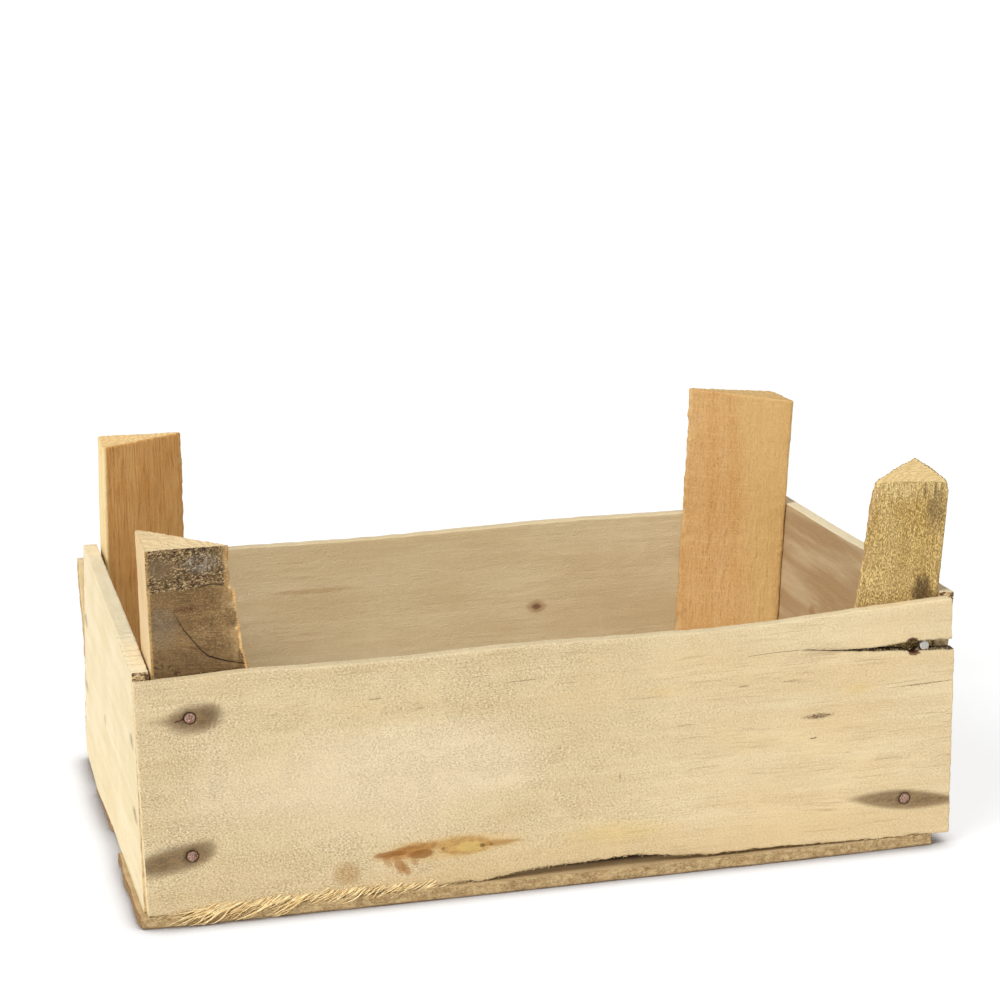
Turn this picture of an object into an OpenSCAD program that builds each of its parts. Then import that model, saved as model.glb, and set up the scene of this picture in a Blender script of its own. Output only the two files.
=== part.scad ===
// Rough wooden crate: four boards on edge, three-cornered corner posts, three bottom slats, nails.
// Built with length along X, depth along Y (front at y = 0) and the floor at z = 0;
// `centred` then puts the middle of the crate over the origin.

/* [Crate] */
// Outside length over the front board
crate_length = 280; // [260:1:300]
// Outside depth over the front and back boards
crate_depth = 185; // [170:1:200]
// Lean of the whole right end frame, board and both posts, in degrees
right_lean = 4.8; // [0:0.1:6]

/* [Side boards] */
// Thickness of the front and back boards
side_thick = 4.8; // [4:0.1:6]
// Top of the front board above the floor, left part
front_top = 84.6; // [78:0.1:90]
// Extra height of the front board at its right end
front_rise = 4.8; // [0:0.1:6]
// Place along the board where the top edge starts to rise
front_rise_from = 205; // [180:1:230]
// Waviness of the sawn top edges
edge_wave = 0.5; // [0:0.1:1]
// Depth of the bark-side hollow in the front board's lower edge
wane_depth = 3.7; // [0:0.1:5]
// Centre of the hollow along the board
wane_at = 158; // [130:1:180]
// Half length of the hollow
wane_half = 50; // [30:1:60]
// Length of the split at the right end of the front board
split_len = 55; // [20:1:70]
// Opening of the split at the board's end
split_gap = 3.4; // [1:0.1:4]
// Height of the split above the floor
split_z = 72.8; // [66:0.1:76]
// Top of the back board above the floor
back_top = 79.5; // [72:0.1:90]
// How far the back board stands past the left end
back_over = 1.5; // [0:0.1:3]

/* [End boards] */
// Thickness of the end boards
end_thick = 5.5; // [5:0.1:7]
// Top of the left end board above the floor
left_top = 86.2; // [78:0.1:92]
// Width of the right end board at the front
right_width_front = 85.5; // [78:0.1:90]
// Width of the right end board at the back
right_width_back = 81; // [76:0.1:90]

/* [Corner posts] */
// Front left post: leg of its section along the crate's length
front_left_x = 32.5; // [28:0.1:34]
// Front left post: leg of its section along the crate's depth
front_left_y = 31; // [26:0.1:34]
// Front left post: width left at its narrow top
front_left_top = 27.5; // [24:0.1:28]
// Front right post: leg of its section along the crate's length
front_right_x = 29; // [26:0.1:32]
// Front right post: leg of its section along the crate's depth
front_right_y = 31; // [26:0.1:34]
// Front right post: width left at its top
front_right_top = 26.8; // [24:0.1:26.9]
// Back left post: leg of its section along the crate's length
back_left_x = 32; // [28:0.1:35]
// Back left post: leg of its section along the crate's depth
back_left_y = 19; // [19:0.1:28]
// Back right post: leg of its section along the crate's length
back_right_x = 35; // [32:0.1:36]
// Back right post: leg of its section along the crate's depth
back_right_y = 24.5; // [24:0.1:32]
// Width of the blunt flat on each acute edge
post_blunt = 1.2; // [0.4:0.1:3]
// Length of the front left post
front_left_len = 122.2; // [110:0.1:130]
// Length of the front right post
front_right_len = 124.6; // [110:0.1:130]
// Length of the back left post
back_left_len = 122.8; // [110:0.1:130]
// Length of the back right post
back_right_len = 122.2; // [110:0.1:130]
// Height up a front post at which it starts to narrow
narrow_from = 80; // [70:1:90]
// Lean of the back left post towards the middle, in degrees
back_left_lean = 1.3; // [0:0.1:2]

/* [Bottom slats] */
// Thickness of the bottom slats
slat_thick = 4.2; // [3.5:0.1:6]
// Width of the front slat
slat_front_width = 63.5; // [50:0.5:80]
// Front edge of the middle slat, from the crate's front
slat_mid_y = 97; // [86:0.5:100]
// Width of the middle slat
slat_mid_width = 44; // [30:0.5:48]
// Width of the back slat
slat_back_width = 34; // [25:0.5:36]
// How far the front slat stands past the left end
slat_over = 2.7; // [0:0.1:4]
// How far the front slat stops short of the right end
slat_short = 6.4; // [4:0.1:8]

/* [Nails] */
// Length of a nail
nail_len = 19; // [16:0.5:20]
// Diameter of the shank
nail_d = 1.8; // [1.4:0.1:2]
// Diameter of the head
nail_head_d = 4.5; // [3.5:0.1:5]
// Thickness of the head's rim
nail_head_t = 0.5; // [0.4:0.1:0.8]
// How far the heads are driven below the wood
nail_sink = 0.35; // [0.1:0.05:0.6]

/* [Hidden] */

fit = 0.02;           // gap between pieces whose faces would otherwise coincide
cut_past = 1;         // how far cutting shapes run past the wood
board_z = slat_thick + fit;                 // underside of the boards and posts
front_inner_y = side_thick;                 // inner face of the front board
back_inner_y = crate_depth - side_thick;    // inner face of the back board
right_foot_inset = 6; // lower outer edge of the right end board, from the crate's end
right_foot_x = crate_length - right_foot_inset;
left_back_rise = 0.4; // extra width of the left end board at the back

front_steps = 56;     // steps along the front board's edges
back_steps = 28;      // steps along the back board's top edge
wane_power = 1.4;     // shapes the hollow's cosine curve

post_tip = 12;        // length at a front post's top with its narrow width
post_step = 2;        // length of the quick narrowing just below it

slat_inset = 0.5;     // outer slats from the crate's front and back faces
slat_mid_over = slat_over * 0.8;
slat_back_x = 0.6;    // left end of the back slat
slat_front_end = crate_length - slat_short;
slat_mid_end = slat_front_end + 1;
slat_back_end = slat_front_end - 0.4;
slat_mid_back = slat_mid_y + slat_mid_width;

nail_facets = 40;
nail_point = 3;       // length of the pointed tip
nail_neck = 0.5;      // length of the cone under the head
head_bevel = [0.3, 0.2]; // bevel of the head's outer edge: across, along
dent_clear = 0.1;     // dent diameter over the head's
dent_out = 3;         // how far the dent's cutter starts outside the head
nail_color = [0.42, 0.30, 0.22];

// Middle of the crate's outermost points, on the floor.
x_min = -slat_over;
x_max = right_foot_x + right_width_front * sin(right_lean);
origin = [(x_min + x_max) / 2, crate_depth / 2, 0];

// Nails in the front and back boards: [x, height].
front_nails = [[16.9, 71.1], [15.7, 23.8],
    [crate_length - 16.5, 18], [crate_length - 9.9, split_z]];
back_nails = [[12, 66], [11, 22], [crate_length - 20, 20], [crate_length - 13, 64]];
// Nails in the end boards: [y, height]; on the right, height before the lean.
left_nails = [[16, 60], [17, 34], [crate_depth - 12, 58], [crate_depth - 12.5, 32]];
right_nails = [[16, 62], [17, 36], [crate_depth - 17, 56], [crate_depth - 16, 32]];
// Nails up through the slats: [x, y], left end and then right end.
slat_nails = [
    [2.8, 18], [2.7, 48],
    [2.8, slat_mid_y + 10], [2.7, slat_mid_back - 10],
    [2.8, crate_depth - 28], [2.7, crate_depth - 12],
    [crate_length - 8.4, 17], [crate_length - 8.5, 50],
    [crate_length - 8.4, slat_mid_y + 11], [crate_length - 8.5, slat_mid_back - 11],
    [crate_length - 8.4, crate_depth - 27], [crate_length - 8.5, crate_depth - 12]];

// Sawn edge: a slow wave along a board.
function wave(x, period, phase) = edge_wave * sin(360 * x / period + phase);
// Upper edge of the front board: wavy, rising to the right end.
function front_edge(x) = front_top + wave(x, period = 115, phase = -60)
    + max(0, x - front_rise_from) * front_rise / (crate_length - front_rise_from);
// Height of the hollow in the front board's lower edge.
function wane(x) = abs(x - wane_at) < wane_half
    ? wane_depth * pow(cos(90 * (x - wane_at) / wane_half), wane_power) : 0;

module centred() translate(-origin) children();

// Frame of the leaning right end: x = 0 is the board's outer face, z = 0 its lower edge.
module lean() translate([right_foot_x, 0, board_z]) rotate([0, right_lean, 0]) children();

// One nail, head at the origin, driven along +Z; the profile is [radius, z].
module nail() {
    rotate_extrude($fn = nail_facets) polygon([
        [0, 0],
        [nail_head_d / 2 - head_bevel[0], 0],
        [nail_head_d / 2, head_bevel[1]],
        [nail_head_d / 2, nail_head_t],
        [nail_d / 2, nail_head_t + nail_neck],
        [nail_d / 2, nail_len - nail_point],
        [0, nail_len]]);
}

// The room a driven nail takes in the wood, with the dent over its head.
module nail_hole() {
    cylinder(h = nail_len, d = nail_d, $fn = nail_facets);
    translate([0, 0, -dent_out])
        cylinder(h = dent_out + nail_head_t + nail_neck, d = nail_head_d + dent_clear,
            $fn = nail_facets);
}

// Put children at each nail's place, +Z pointing into the wood.
module at_front() {
    for (place = front_nails)
        translate([place[0], nail_sink, place[1]]) rotate([-90, 0, 0]) children();
}
module at_back() {
    for (place = back_nails)
        translate([place[0], crate_depth - nail_sink, place[1]]) rotate([90, 0, 0]) children();
}
module at_left() {
    for (place = left_nails)
        translate([nail_sink, place[0], place[1]]) rotate([0, 90, 0]) children();
}
module at_right() {
    for (place = right_nails)
        lean() translate([-nail_sink, place[0], place[1] - board_z])
            rotate([0, -90, 0]) children();
}
module at_bottom() {
    for (place = slat_nails)
        translate([place[0], place[1], nail_sink]) children();
}

// A solid from an [x, z] outline, filling y from y_start to y_end.
module y_prism(outline, y_start, y_end) {
    translate([0, y_end, 0]) rotate([90, 0, 0])
        linear_extrude(height = y_end - y_start) polygon(outline);
}

// A board on edge across the crate, with its widths at the front and back.
module cross_board(width_front, width_back) {
    rotate([90, 0, 90]) linear_extrude(height = end_thick) polygon([
        [front_inner_y + fit, 0], [back_inner_y - fit, 0],
        [back_inner_y - fit, width_back], [front_inner_y + fit, width_front]]);
}

// Three-cornered post, square corner at the origin.
module post(leg_x, leg_y, height) {
    linear_extrude(height = height) polygon([
        [0, 0], [leg_x, 0], [leg_x, post_blunt], [post_blunt, leg_y], [0, leg_y]]);
}

// The same post, narrowed towards its top along the crate's length.
module narrowed_post(leg_x, leg_y, height, top_x) intersection() {
    post(leg_x, leg_y, height);
    y_prism([
        [-cut_past, -cut_past],
        [leg_x + cut_past, -cut_past],
        [leg_x + cut_past, narrow_from],
        [leg_x, narrow_from],
        [(leg_x + top_x) / 2, height - post_tip - post_step],
        [top_x, height - post_tip],
        [top_x, height + cut_past],
        [-cut_past, height + cut_past]], -cut_past, leg_y + cut_past);
}

// A slat under the crate, between two x and from y_front for its width.
module slat(x_start, x_end, y_front, width) difference() {
    translate([x_start, y_front, 0]) cube([x_end - x_start, width, slat_thick]);
    at_bottom() nail_hole();
}

// The split in the front board: a bent wedge, open at the right end.
module split() {
    open_x = crate_length + cut_past;
    y_prism([
        [crate_length - split_len, split_z + 1.6],
        [open_x, split_z - split_gap / 2],
        [open_x, split_z + split_gap / 2],
        [crate_length - split_len * 0.6, split_z + 1]], -cut_past, side_thick + cut_past);
}

module front_board() color([0.87, 0.77, 0.56]) centred() difference() {
    step = crate_length / front_steps;
    y_prism(concat(
        [for (i = [0 : front_steps]) [i * step, board_z + wane(i * step)]],
        [for (i = [front_steps : -1 : 0]) [i * step, front_edge(i * step)]]),
        0, front_inner_y);
    split();
    at_front() nail_hole();
}

module back_board() color([0.84, 0.73, 0.53]) centred() difference() {
    step = (crate_length + back_over) / back_steps;
    y_prism(concat(
        [[-back_over, board_z], [crate_length, board_z]],
        [for (i = [back_steps : -1 : 0]) let (x = -back_over + i * step)
            [x, back_top + wave(x, period = 170, phase = 40)]]),
        back_inner_y, crate_depth);
    at_back() nail_hole();
}

module left_end_board() color([0.90, 0.83, 0.66]) centred() difference() {
    translate([0, 0, board_z])
        cross_board(left_top - board_z, left_top - board_z + left_back_rise);
    at_left() nail_hole();
    at_bottom() nail_hole();
}

module right_end_board() color([0.80, 0.68, 0.47]) centred() difference() {
    lean() translate([-end_thick, 0, 0]) cross_board(right_width_front, right_width_back);
    at_right() nail_hole();
    at_bottom() nail_hole();
}

module post_front_left() color([0.52, 0.45, 0.35]) centred() difference() {
    translate([end_thick + fit, front_inner_y + fit, board_z])
        narrowed_post(front_left_x, front_left_y, front_left_len, front_left_top);
    at_front() nail_hole();
    at_left() nail_hole();
}

module post_front_right() color([0.74, 0.60, 0.36]) centred() difference() {
    lean() translate([-end_thick - fit, front_inner_y + fit, 0]) mirror([1, 0, 0])
        narrowed_post(front_right_x, front_right_y, front_right_len, front_right_top);
    at_front() nail_hole();
    at_right() nail_hole();
}

// Raised so that its leaning foot stays above the slats.
module post_back_left() color([0.78, 0.63, 0.40]) centred() difference() {
    translate([end_thick + fit, back_inner_y - fit, board_z + back_left_x * sin(back_left_lean)])
        rotate([0, back_left_lean, 0]) mirror([0, 1, 0])
            post(back_left_x, back_left_y, back_left_len);
    at_back() nail_hole();
    at_left() nail_hole();
}

module post_back_right() color([0.80, 0.64, 0.40]) centred() difference() {
    lean() translate([-end_thick - fit, back_inner_y - fit, 0])
        mirror([1, 0, 0]) mirror([0, 1, 0])
            post(back_right_x, back_right_y, back_right_len);
    at_back() nail_hole();
    at_right() nail_hole();
}

module bottom_slat_front() color([0.66, 0.52, 0.33]) centred()
    slat(-slat_over, slat_front_end, slat_inset, slat_front_width);
module bottom_slat_middle() color([0.70, 0.57, 0.38]) centred()
    slat(-slat_mid_over, slat_mid_end, slat_mid_y, slat_mid_width);
module bottom_slat_back() color([0.68, 0.55, 0.36]) centred()
    slat(slat_back_x, slat_back_end, crate_depth - slat_inset - slat_back_width, slat_back_width);

module front_board_nails() color(nail_color) centred() at_front() nail();
module back_board_nails() color(nail_color) centred() at_back() nail();
module left_end_nails() color(nail_color) centred() at_left() nail();
module right_end_nails() color(nail_color) centred() at_right() nail();
module bottom_slat_nails() color(nail_color) centred() at_bottom() nail();

front_board();
back_board();
left_end_board();
right_end_board();
post_front_left();
post_front_right();
post_back_left();
post_back_right();
bottom_slat_front();
bottom_slat_middle();
bottom_slat_back();
front_board_nails();
back_board_nails();
left_end_nails();
right_end_nails();
bottom_slat_nails();
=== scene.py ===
# A nailed crate of rough-sawn wood: four boards, four three-cornered posts that stand above
# them, and three slats underneath. Sizes are in crate millimetres: X runs along the front
# board from its left end, Y from that board's outer face to the back, Z up from the floor.
import math
from collections import namedtuple

import bpy
import numpy as np
from mathutils import Matrix, Vector


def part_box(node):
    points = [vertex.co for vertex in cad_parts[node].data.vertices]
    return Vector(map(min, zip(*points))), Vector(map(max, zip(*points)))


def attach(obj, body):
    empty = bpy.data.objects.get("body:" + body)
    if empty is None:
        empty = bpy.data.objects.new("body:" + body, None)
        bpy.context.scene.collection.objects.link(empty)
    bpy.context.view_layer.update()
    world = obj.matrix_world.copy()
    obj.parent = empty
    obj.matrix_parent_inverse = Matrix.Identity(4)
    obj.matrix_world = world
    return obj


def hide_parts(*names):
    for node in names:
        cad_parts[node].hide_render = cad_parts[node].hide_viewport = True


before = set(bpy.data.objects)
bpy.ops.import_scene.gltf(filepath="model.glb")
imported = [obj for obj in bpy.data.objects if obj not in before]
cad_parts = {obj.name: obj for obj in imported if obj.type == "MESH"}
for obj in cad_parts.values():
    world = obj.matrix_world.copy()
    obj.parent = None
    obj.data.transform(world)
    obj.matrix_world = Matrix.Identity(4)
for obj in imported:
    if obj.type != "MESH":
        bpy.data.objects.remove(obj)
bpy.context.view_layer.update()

# ---------------------------------------------------------------- driving sizes

front_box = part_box("front_board")
ORIGIN = np.array([front_box[0].x * 1000.0, front_box[0].y * 1000.0, 0.0])
LENGTH = (front_box[1].x - front_box[0].x) * 1000.0
DEPTH = (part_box("back_board")[1].y - front_box[0].y) * 1000.0

SIDE_T = 4.8    # thickness of the front and back boards
END_T = 5.5     # thickness of the end boards
SLAT_T = 4.2
GAP = 0.02
BASE_Z = SLAT_T + GAP             # the boards and posts stand on the slats
FRONT_Y = SIDE_T + GAP            # inner side of the front board
BACK_Y = DEPTH - SIDE_T - GAP     # inner side of the back board
LEAN = math.radians(4.8)          # outward lean of the right end
PIVOT_X = LENGTH - 6.0
BOARD_LAYERS = np.array([0, 0.3, 0.9, 2.4, 3.9, 4.5, SIDE_T])

# Nails: (place along the board, height), or (x, y) under the slats
FRONT_NAILS = [(16.9, 71.1), (15.7, 23.8), (LENGTH - 16.5, 18.0), (LENGTH - 9.9, 72.8)]
BACK_NAILS = [(12, 66), (11, 22), (LENGTH - 20, 20), (LENGTH - 13, 64)]
LEFT_NAILS = [(16, 60), (17, 34), (DEPTH - 12, 58), (DEPTH - 12.5, 32)]
RIGHT_NAILS = [(16, 62), (17, 36), (DEPTH - 17, 56), (DEPTH - 16, 32)]
FRONT_SLAT_W, MIDDLE_SLAT_W, BACK_SLAT_W = 63.5, 44.0, 34.0
MIDDLE_SLAT_Y = 97.0
MIDDLE_SLAT_END = MIDDLE_SLAT_Y + MIDDLE_SLAT_W
SLAT_NAILS = [
    (2.8, 18), (2.7, 48), (2.3, MIDDLE_SLAT_Y + 10), (2.2, MIDDLE_SLAT_END - 10),
    (2.4, DEPTH - 28), (2.4, DEPTH - 12),
    (LENGTH - 8.4, 17), (LENGTH - 8.5, 50), (LENGTH - 8.4, MIDDLE_SLAT_Y + 11),
    (LENGTH - 8.5, MIDDLE_SLAT_END - 11), (LENGTH - 8.4, DEPTH - 27), (LENGTH - 8.5, DEPTH - 12)]


def to_world(points):
    return (np.asarray(points, float) + ORIGIN) / 1000.0


def lean(points):
    """From the leaning right end's own frame to crate millimetres."""
    cos, sin = math.cos(LEAN), math.sin(LEAN)
    out = points.copy()
    out[..., 0] = PIVOT_X + points[..., 0] * cos + points[..., 2] * sin
    out[..., 2] = BASE_Z - points[..., 0] * sin + points[..., 2] * cos
    return out


def twist(y, z):
    """The right end is wound: its front corner leans further out than its back corner."""
    return z / 85.0 * (1.35 - 2.95 * y / DEPTH)


# ---------------------------------------------------------------- noise and curves

LOW_32_BITS = np.uint64(0xFFFFFFFF)


def lattice_hash(ix, iy, iz, seed):
    h = (ix * np.uint64(374761393) + iy * np.uint64(668265263)
         + iz * np.uint64(2246822519) + np.uint64(seed * 3266489917 % 4294967296)) & LOW_32_BITS
    h ^= h >> np.uint64(15)
    h = (h * np.uint64(2246822519)) & LOW_32_BITS
    h ^= h >> np.uint64(13)
    h = (h * np.uint64(3266489917)) & LOW_32_BITS
    h ^= h >> np.uint64(16)
    return h.astype(float) / 2147483647.5 - 1.0


def noise(x, y, z, seed):
    """Smooth value noise in -1..1."""
    x, y, z = np.broadcast_arrays(*(np.asarray(a, float) for a in (x, y, z)))
    cells = [np.floor(a) for a in (x, y, z)]
    u, v, w = (f * f * f * (f * (f * 6 - 15) + 10)
               for f in (a - cell for a, cell in zip((x, y, z), cells)))
    ix, iy, iz = (cell.astype(np.int64).astype(np.uint64) for cell in cells)
    total = 0.0
    for dx in (0, 1):
        for dy in (0, 1):
            for dz in (0, 1):
                value = lattice_hash(ix + np.uint64(dx), iy + np.uint64(dy),
                                     iz + np.uint64(dz), seed)
                total = total + (value * (u if dx else 1 - u) * (v if dy else 1 - v)
                                 * (w if dz else 1 - w))
    return total


def fbm(x, y, z, octaves, seed):
    """Noise summed over octaves, each half as strong and twice as fine as the last."""
    total, strength, weight = 0.0, 1.0, 0.0
    for k in range(octaves):
        total = total + strength * noise(x * 2 ** k + 17.3 * k, y * 2 ** k - 9.1 * k,
                                         z * 2 ** k + 5.7 * k, seed + k)
        weight += strength
        strength *= 0.5
    return total / weight


def smooth(x, start, end):
    """Smoothstep from 0 at start to 1 at end; start may be the larger."""
    t = np.clip((np.asarray(x, float) - start) / (end - start), 0, 1)
    return t * t * (3 - 2 * t)


def curve(points, soft):
    """A function through (x, y) points, averaged over +-soft."""
    xs, ys = np.array(points, float).T
    offsets = np.linspace(-soft, soft, 9)

    def value(x):
        x = np.asarray(x, float)
        return sum(np.interp(x + offset, xs, ys) for offset in offsets) / len(offsets)
    return value


# ---------------------------------------------------------------- meshes

def add_mesh(name, points, faces, material, node=None, attributes=None):
    """A piece from crate-millimetre points and groups of faces; it rides on the one body."""
    mesh = bpy.data.meshes.new(name)
    polygons = []
    for group in faces:
        polygons.extend(group.tolist() if isinstance(group, np.ndarray) else group)
    mesh.from_pydata(to_world(points).tolist(), [], polygons)
    mesh.validate(verbose=False)
    mesh.update()
    mesh.polygons.foreach_set("use_smooth", np.ones(len(mesh.polygons), bool))
    for key, values in (attributes or {}).items():
        attribute = mesh.attributes.new(key, "FLOAT", "POINT")
        attribute.data.foreach_set("value", np.asarray(values, np.float32))
    piece = bpy.data.objects.new(name, mesh)
    bpy.context.scene.collection.objects.link(piece)
    mesh.materials.append(material)
    if node:
        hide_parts(node)
    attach(piece, "root")


def stations(length, step, dense=(), edge=(0.25, 0.65, 1.2)):
    """Grid lines from 0 to length, with extra ones by both ends.
    dense lists (centre, half width, step) where the lines lie closer."""
    lines, x = [0.0], 0.0
    while x < length:
        stride = step
        for centre, half, fine in dense:
            if abs(x + 0.5 * fine - centre) < half:
                stride = min(stride, fine)
        x += stride
        lines.append(x)
    lines = np.array(lines) * (length / lines[-1])
    extra = list(edge) + [length - e for e in edge]
    lines = np.array([p for p in lines if p in (0.0, length)
                      or all(abs(p - e) > 0.3 * step for e in extra)] + extra)
    lines = np.unique(np.round(lines, 4))
    keep = [lines[0]]
    for p in lines[1:]:
        if p - keep[-1] > 0.12:
            keep.append(p)
    keep[-1] = length
    return np.array(keep)


class Plank:
    """A closed board on a lattice: x along the grain, y into its thickness from the outer
    face, z across its width. split = (station, row) opens a slit from there to the far end."""

    def __init__(self, xs, zs, ys, split=None):
        skin = np.zeros((len(xs), len(zs), len(ys)), bool)
        skin[[0, -1]] = True
        skin[:, [0, -1]] = True
        skin[:, :, [0, -1]] = True
        if split:
            skin[split[0]:, split[1], :] = True
        below = np.full(skin.shape, -1, np.int64)
        below[skin] = np.arange(skin.sum())
        station, row, layer = np.nonzero(skin)
        upper_lip = np.zeros(len(station), bool)
        above = below
        if split:
            # the slit's upper lip repeats its row of vertices
            first, slit = split
            opened = np.arange(first + 1, len(xs))
            count = len(opened) * len(ys)
            above = below.copy()
            above[first + 1:, slit, :] = (
                len(station) + np.arange(count).reshape(len(opened), len(ys)))
            station = np.r_[station, np.repeat(opened, len(ys))]
            row = np.r_[row, np.full(count, slit)]
            layer = np.r_[layer, np.tile(np.arange(len(ys)), len(opened))]
            upper_lip = np.r_[upper_lip, np.ones(count, bool)]
        self.station, self.row, self.layer = station, row, layer
        self.upper_lip = upper_lip
        self.x, self.y, self.z = xs[station], ys[layer], zs[row]
        self.size = np.array([xs[-1], ys[-1], zs[-1]])
        self.top, self.bottom = row == len(zs) - 1, row == 0
        self.outer, self.inner = layer == 0, layer == len(ys) - 1
        self.ends = (station == 0) | (station == len(xs) - 1)
        self.faces = []
        last = len(zs) - 1
        bands = [(0, slit, below), (slit, last, above)] if split else [(0, last, below)]
        for low, high, ids in bands:
            band = ids[:, low:high + 1]
            self.sheet(band[:, :, 0], flip=False)
            self.sheet(band[:, :, -1], flip=True)
            self.sheet(band[0], flip=False)
            self.sheet(band[-1], flip=True)
        self.sheet(below[:, 0], flip=True)
        self.sheet(above[:, -1], flip=False)
        if split:
            self.sheet(below[first:, slit], flip=False)
            self.sheet(above[first:, slit], flip=True)

    def sheet(self, ids, flip):
        a, b, c, d = ids[:-1, :-1], ids[1:, :-1], ids[1:, 1:], ids[:-1, 1:]
        corners = (a, d, c, b) if flip else (a, b, c, d)
        self.faces.append(np.stack([corner.ravel() for corner in corners], 1))

    def rounded(self, radius):
        """Box positions with rounded edges, and outward normals."""
        points = np.stack([self.x, self.y, self.z], 1)
        core = np.clip(points, radius, self.size - radius)
        away = points - core
        distance = np.linalg.norm(away, axis=1, keepdims=True)
        normals = np.where(distance > 1e-9, away / np.maximum(distance, 1e-9), 0)
        return core + normals * radius, normals


def ring_quads(rings, sides):
    """Quads between successive rings of a closed sweep."""
    start = np.arange(rings - 1)[:, None] * sides
    here = np.arange(sides)
    after = (here + 1) % sides
    quads = [start + here, start + after, start + after + sides, start + here + sides]
    return np.stack(quads, -1).reshape(-1, 4)


PRISM_STEP = 0.62     # spacing round the outline
PRISM_RISE = 0.75     # spacing up the height
CAP_RINGS = 16


def prism(outline, height):
    """A counter-clockwise outline swept up, with ring-filled ends. Gives positions, normals,
    the outline side each vertex lies on (len(outline) on the ends) and faces."""
    loop, loop_side = [], []
    for side, start in enumerate(outline):
        start = np.array(start, float)
        run = np.array(outline[(side + 1) % len(outline)], float) - start
        count = max(2, int(round(np.linalg.norm(run) / PRISM_STEP)))
        for k in range(count):
            loop.append(start + run * k / count)
            loop_side.append(side)
    loop, loop_side = np.array(loop), np.array(loop_side)
    for _ in range(3):
        loop = (np.roll(loop, 1, 0) + 2 * loop + np.roll(loop, -1, 0)) / 4
    tangent = np.roll(loop, -1, 0) - np.roll(loop, 1, 0)
    outward = np.stack([tangent[:, 1], -tangent[:, 0]], 1)
    outward /= np.linalg.norm(outward, axis=1, keepdims=True)
    levels = stations(height, PRISM_RISE, edge=(0.2, 0.55, 1.1))
    n = len(loop)
    points, normals, sides = [], [], []
    for z in levels:
        # the arrises at both ends are eased
        from_end = min(z, height - z)
        inset = 0.38 * max(0.0, 1 - from_end / 0.55) ** 2
        points.append(np.c_[loop - outward * inset, np.full(n, z)])
        tilt = max(0.0, 1 - from_end / 0.4) * (1 if z > height / 2 else -1)
        normal = np.c_[outward, np.full(n, tilt)]
        normals.append(normal / np.linalg.norm(normal, axis=1, keepdims=True))
        sides.append(loop_side)
    centre = loop.mean(0)
    quads, triangles = [ring_quads(len(levels), n)], []
    here = np.arange(n)
    after = (here + 1) % n
    count = len(levels) * n
    for top in (True, False):
        base = (len(levels) - 1) * n if top else 0
        rim = points[len(levels) - 1 if top else 0]
        up = [0, 0, 1.0 if top else -1.0]
        previous = base + here
        for k in range(1, CAP_RINGS):
            share = 1 - k / CAP_RINGS
            points.append(np.c_[centre + (rim[:, :2] - centre) * share, rim[:, 2]])
            normals.append(np.tile(up, (n, 1)))
            sides.append(np.full(n, len(outline)))
            current = count + here
            count += n
            quad = np.stack([previous, previous[after], current[after], current], 1)
            quads.append(quad if top else quad[:, ::-1])
            previous = current
        points.append(np.array([[centre[0], centre[1], rim[0, 2]]]))
        normals.append(np.array([up]))
        sides.append(np.array([len(outline)]))
        fan = np.stack([previous, previous[after], np.full(n, count)], 1)
        triangles.append(fan if top else fan[:, ::-1])
        count += 1
    return np.vstack(points), np.vstack(normals), np.concatenate(sides), quads + triangles


def tube(path, radii, sides):
    """A tapered closed strand along path."""
    heading = np.gradient(path, axis=0)
    heading /= np.maximum(np.linalg.norm(heading, axis=1, keepdims=True), 1e-9)
    across = np.cross(heading, np.array([0.13, 0.97, 0.21]))
    across /= np.maximum(np.linalg.norm(across, axis=1, keepdims=True), 1e-9)
    upright = np.cross(heading, across)
    angle = np.linspace(0, 2 * math.pi, sides, endpoint=False)[:, None]
    rings = path[:, None] + radii[:, None, None] * (
        np.cos(angle) * across[:, None] + np.sin(angle) * upright[:, None])
    points = np.vstack([rings.reshape(-1, 3), path[0] - heading[0] * radii[0] * 0.5,
                        path[-1] + heading[-1] * radii[-1] * 1.5])
    faces = ring_quads(len(path), sides).tolist()
    tip = len(path) * sides
    last = tip - sides
    for s in range(sides):
        after = (s + 1) % sides
        faces.append((tip, after, s))
        faces.append((tip + 1, last + s, last + after))
    return points, faces


class Strands:
    """Torn wood fibres gathered into one mesh."""

    def __init__(self, rng):
        self.rng = rng
        self.points, self.faces, self.count = [], [], 0

    def add(self, start, direction, length, radius, droop=0.0, curl=0.0, out=0.6,
            sides=4, points=8):
        """One fibre that leaves the wood at start and thins to its tip."""
        along = np.linspace(0, 1, points)
        heading = np.asarray(direction, float)
        heading = heading / np.linalg.norm(heading)
        side = np.array([heading[2], 0, -heading[0]])
        path = np.asarray(start, float) + np.outer(along * length, heading)
        path += np.outer(curl * length * along ** 2, side)
        path[:, 2] -= droop * length * along ** 2
        path[:, 1] -= out * np.sin(np.pi * np.clip(along * 0.9 + 0.05, 0, 1)) * (0.5 + 0.5 * along)
        path[:, 0] += 0.05 * length * np.sin(along * 6 + self.rng.uniform(0, 6))
        path[:, 2] = np.maximum(path[:, 2], 0.35)
        new_points, new_faces = tube(path, radius * (1 - 0.85 * along ** 1.3), sides)
        self.points.append(new_points)
        self.faces.extend([tuple(i + self.count for i in face) for face in new_faces])
        self.count += len(new_points)


# ---------------------------------------------------------------- shader graph helpers

def srgb(*display):
    """Linear colour from 0..255 display values."""
    return tuple(c / 12.92 if c <= 0.04045 else ((c + 0.055) / 1.055) ** 2.4
                 for c in (value / 255.0 for value in display))


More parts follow.
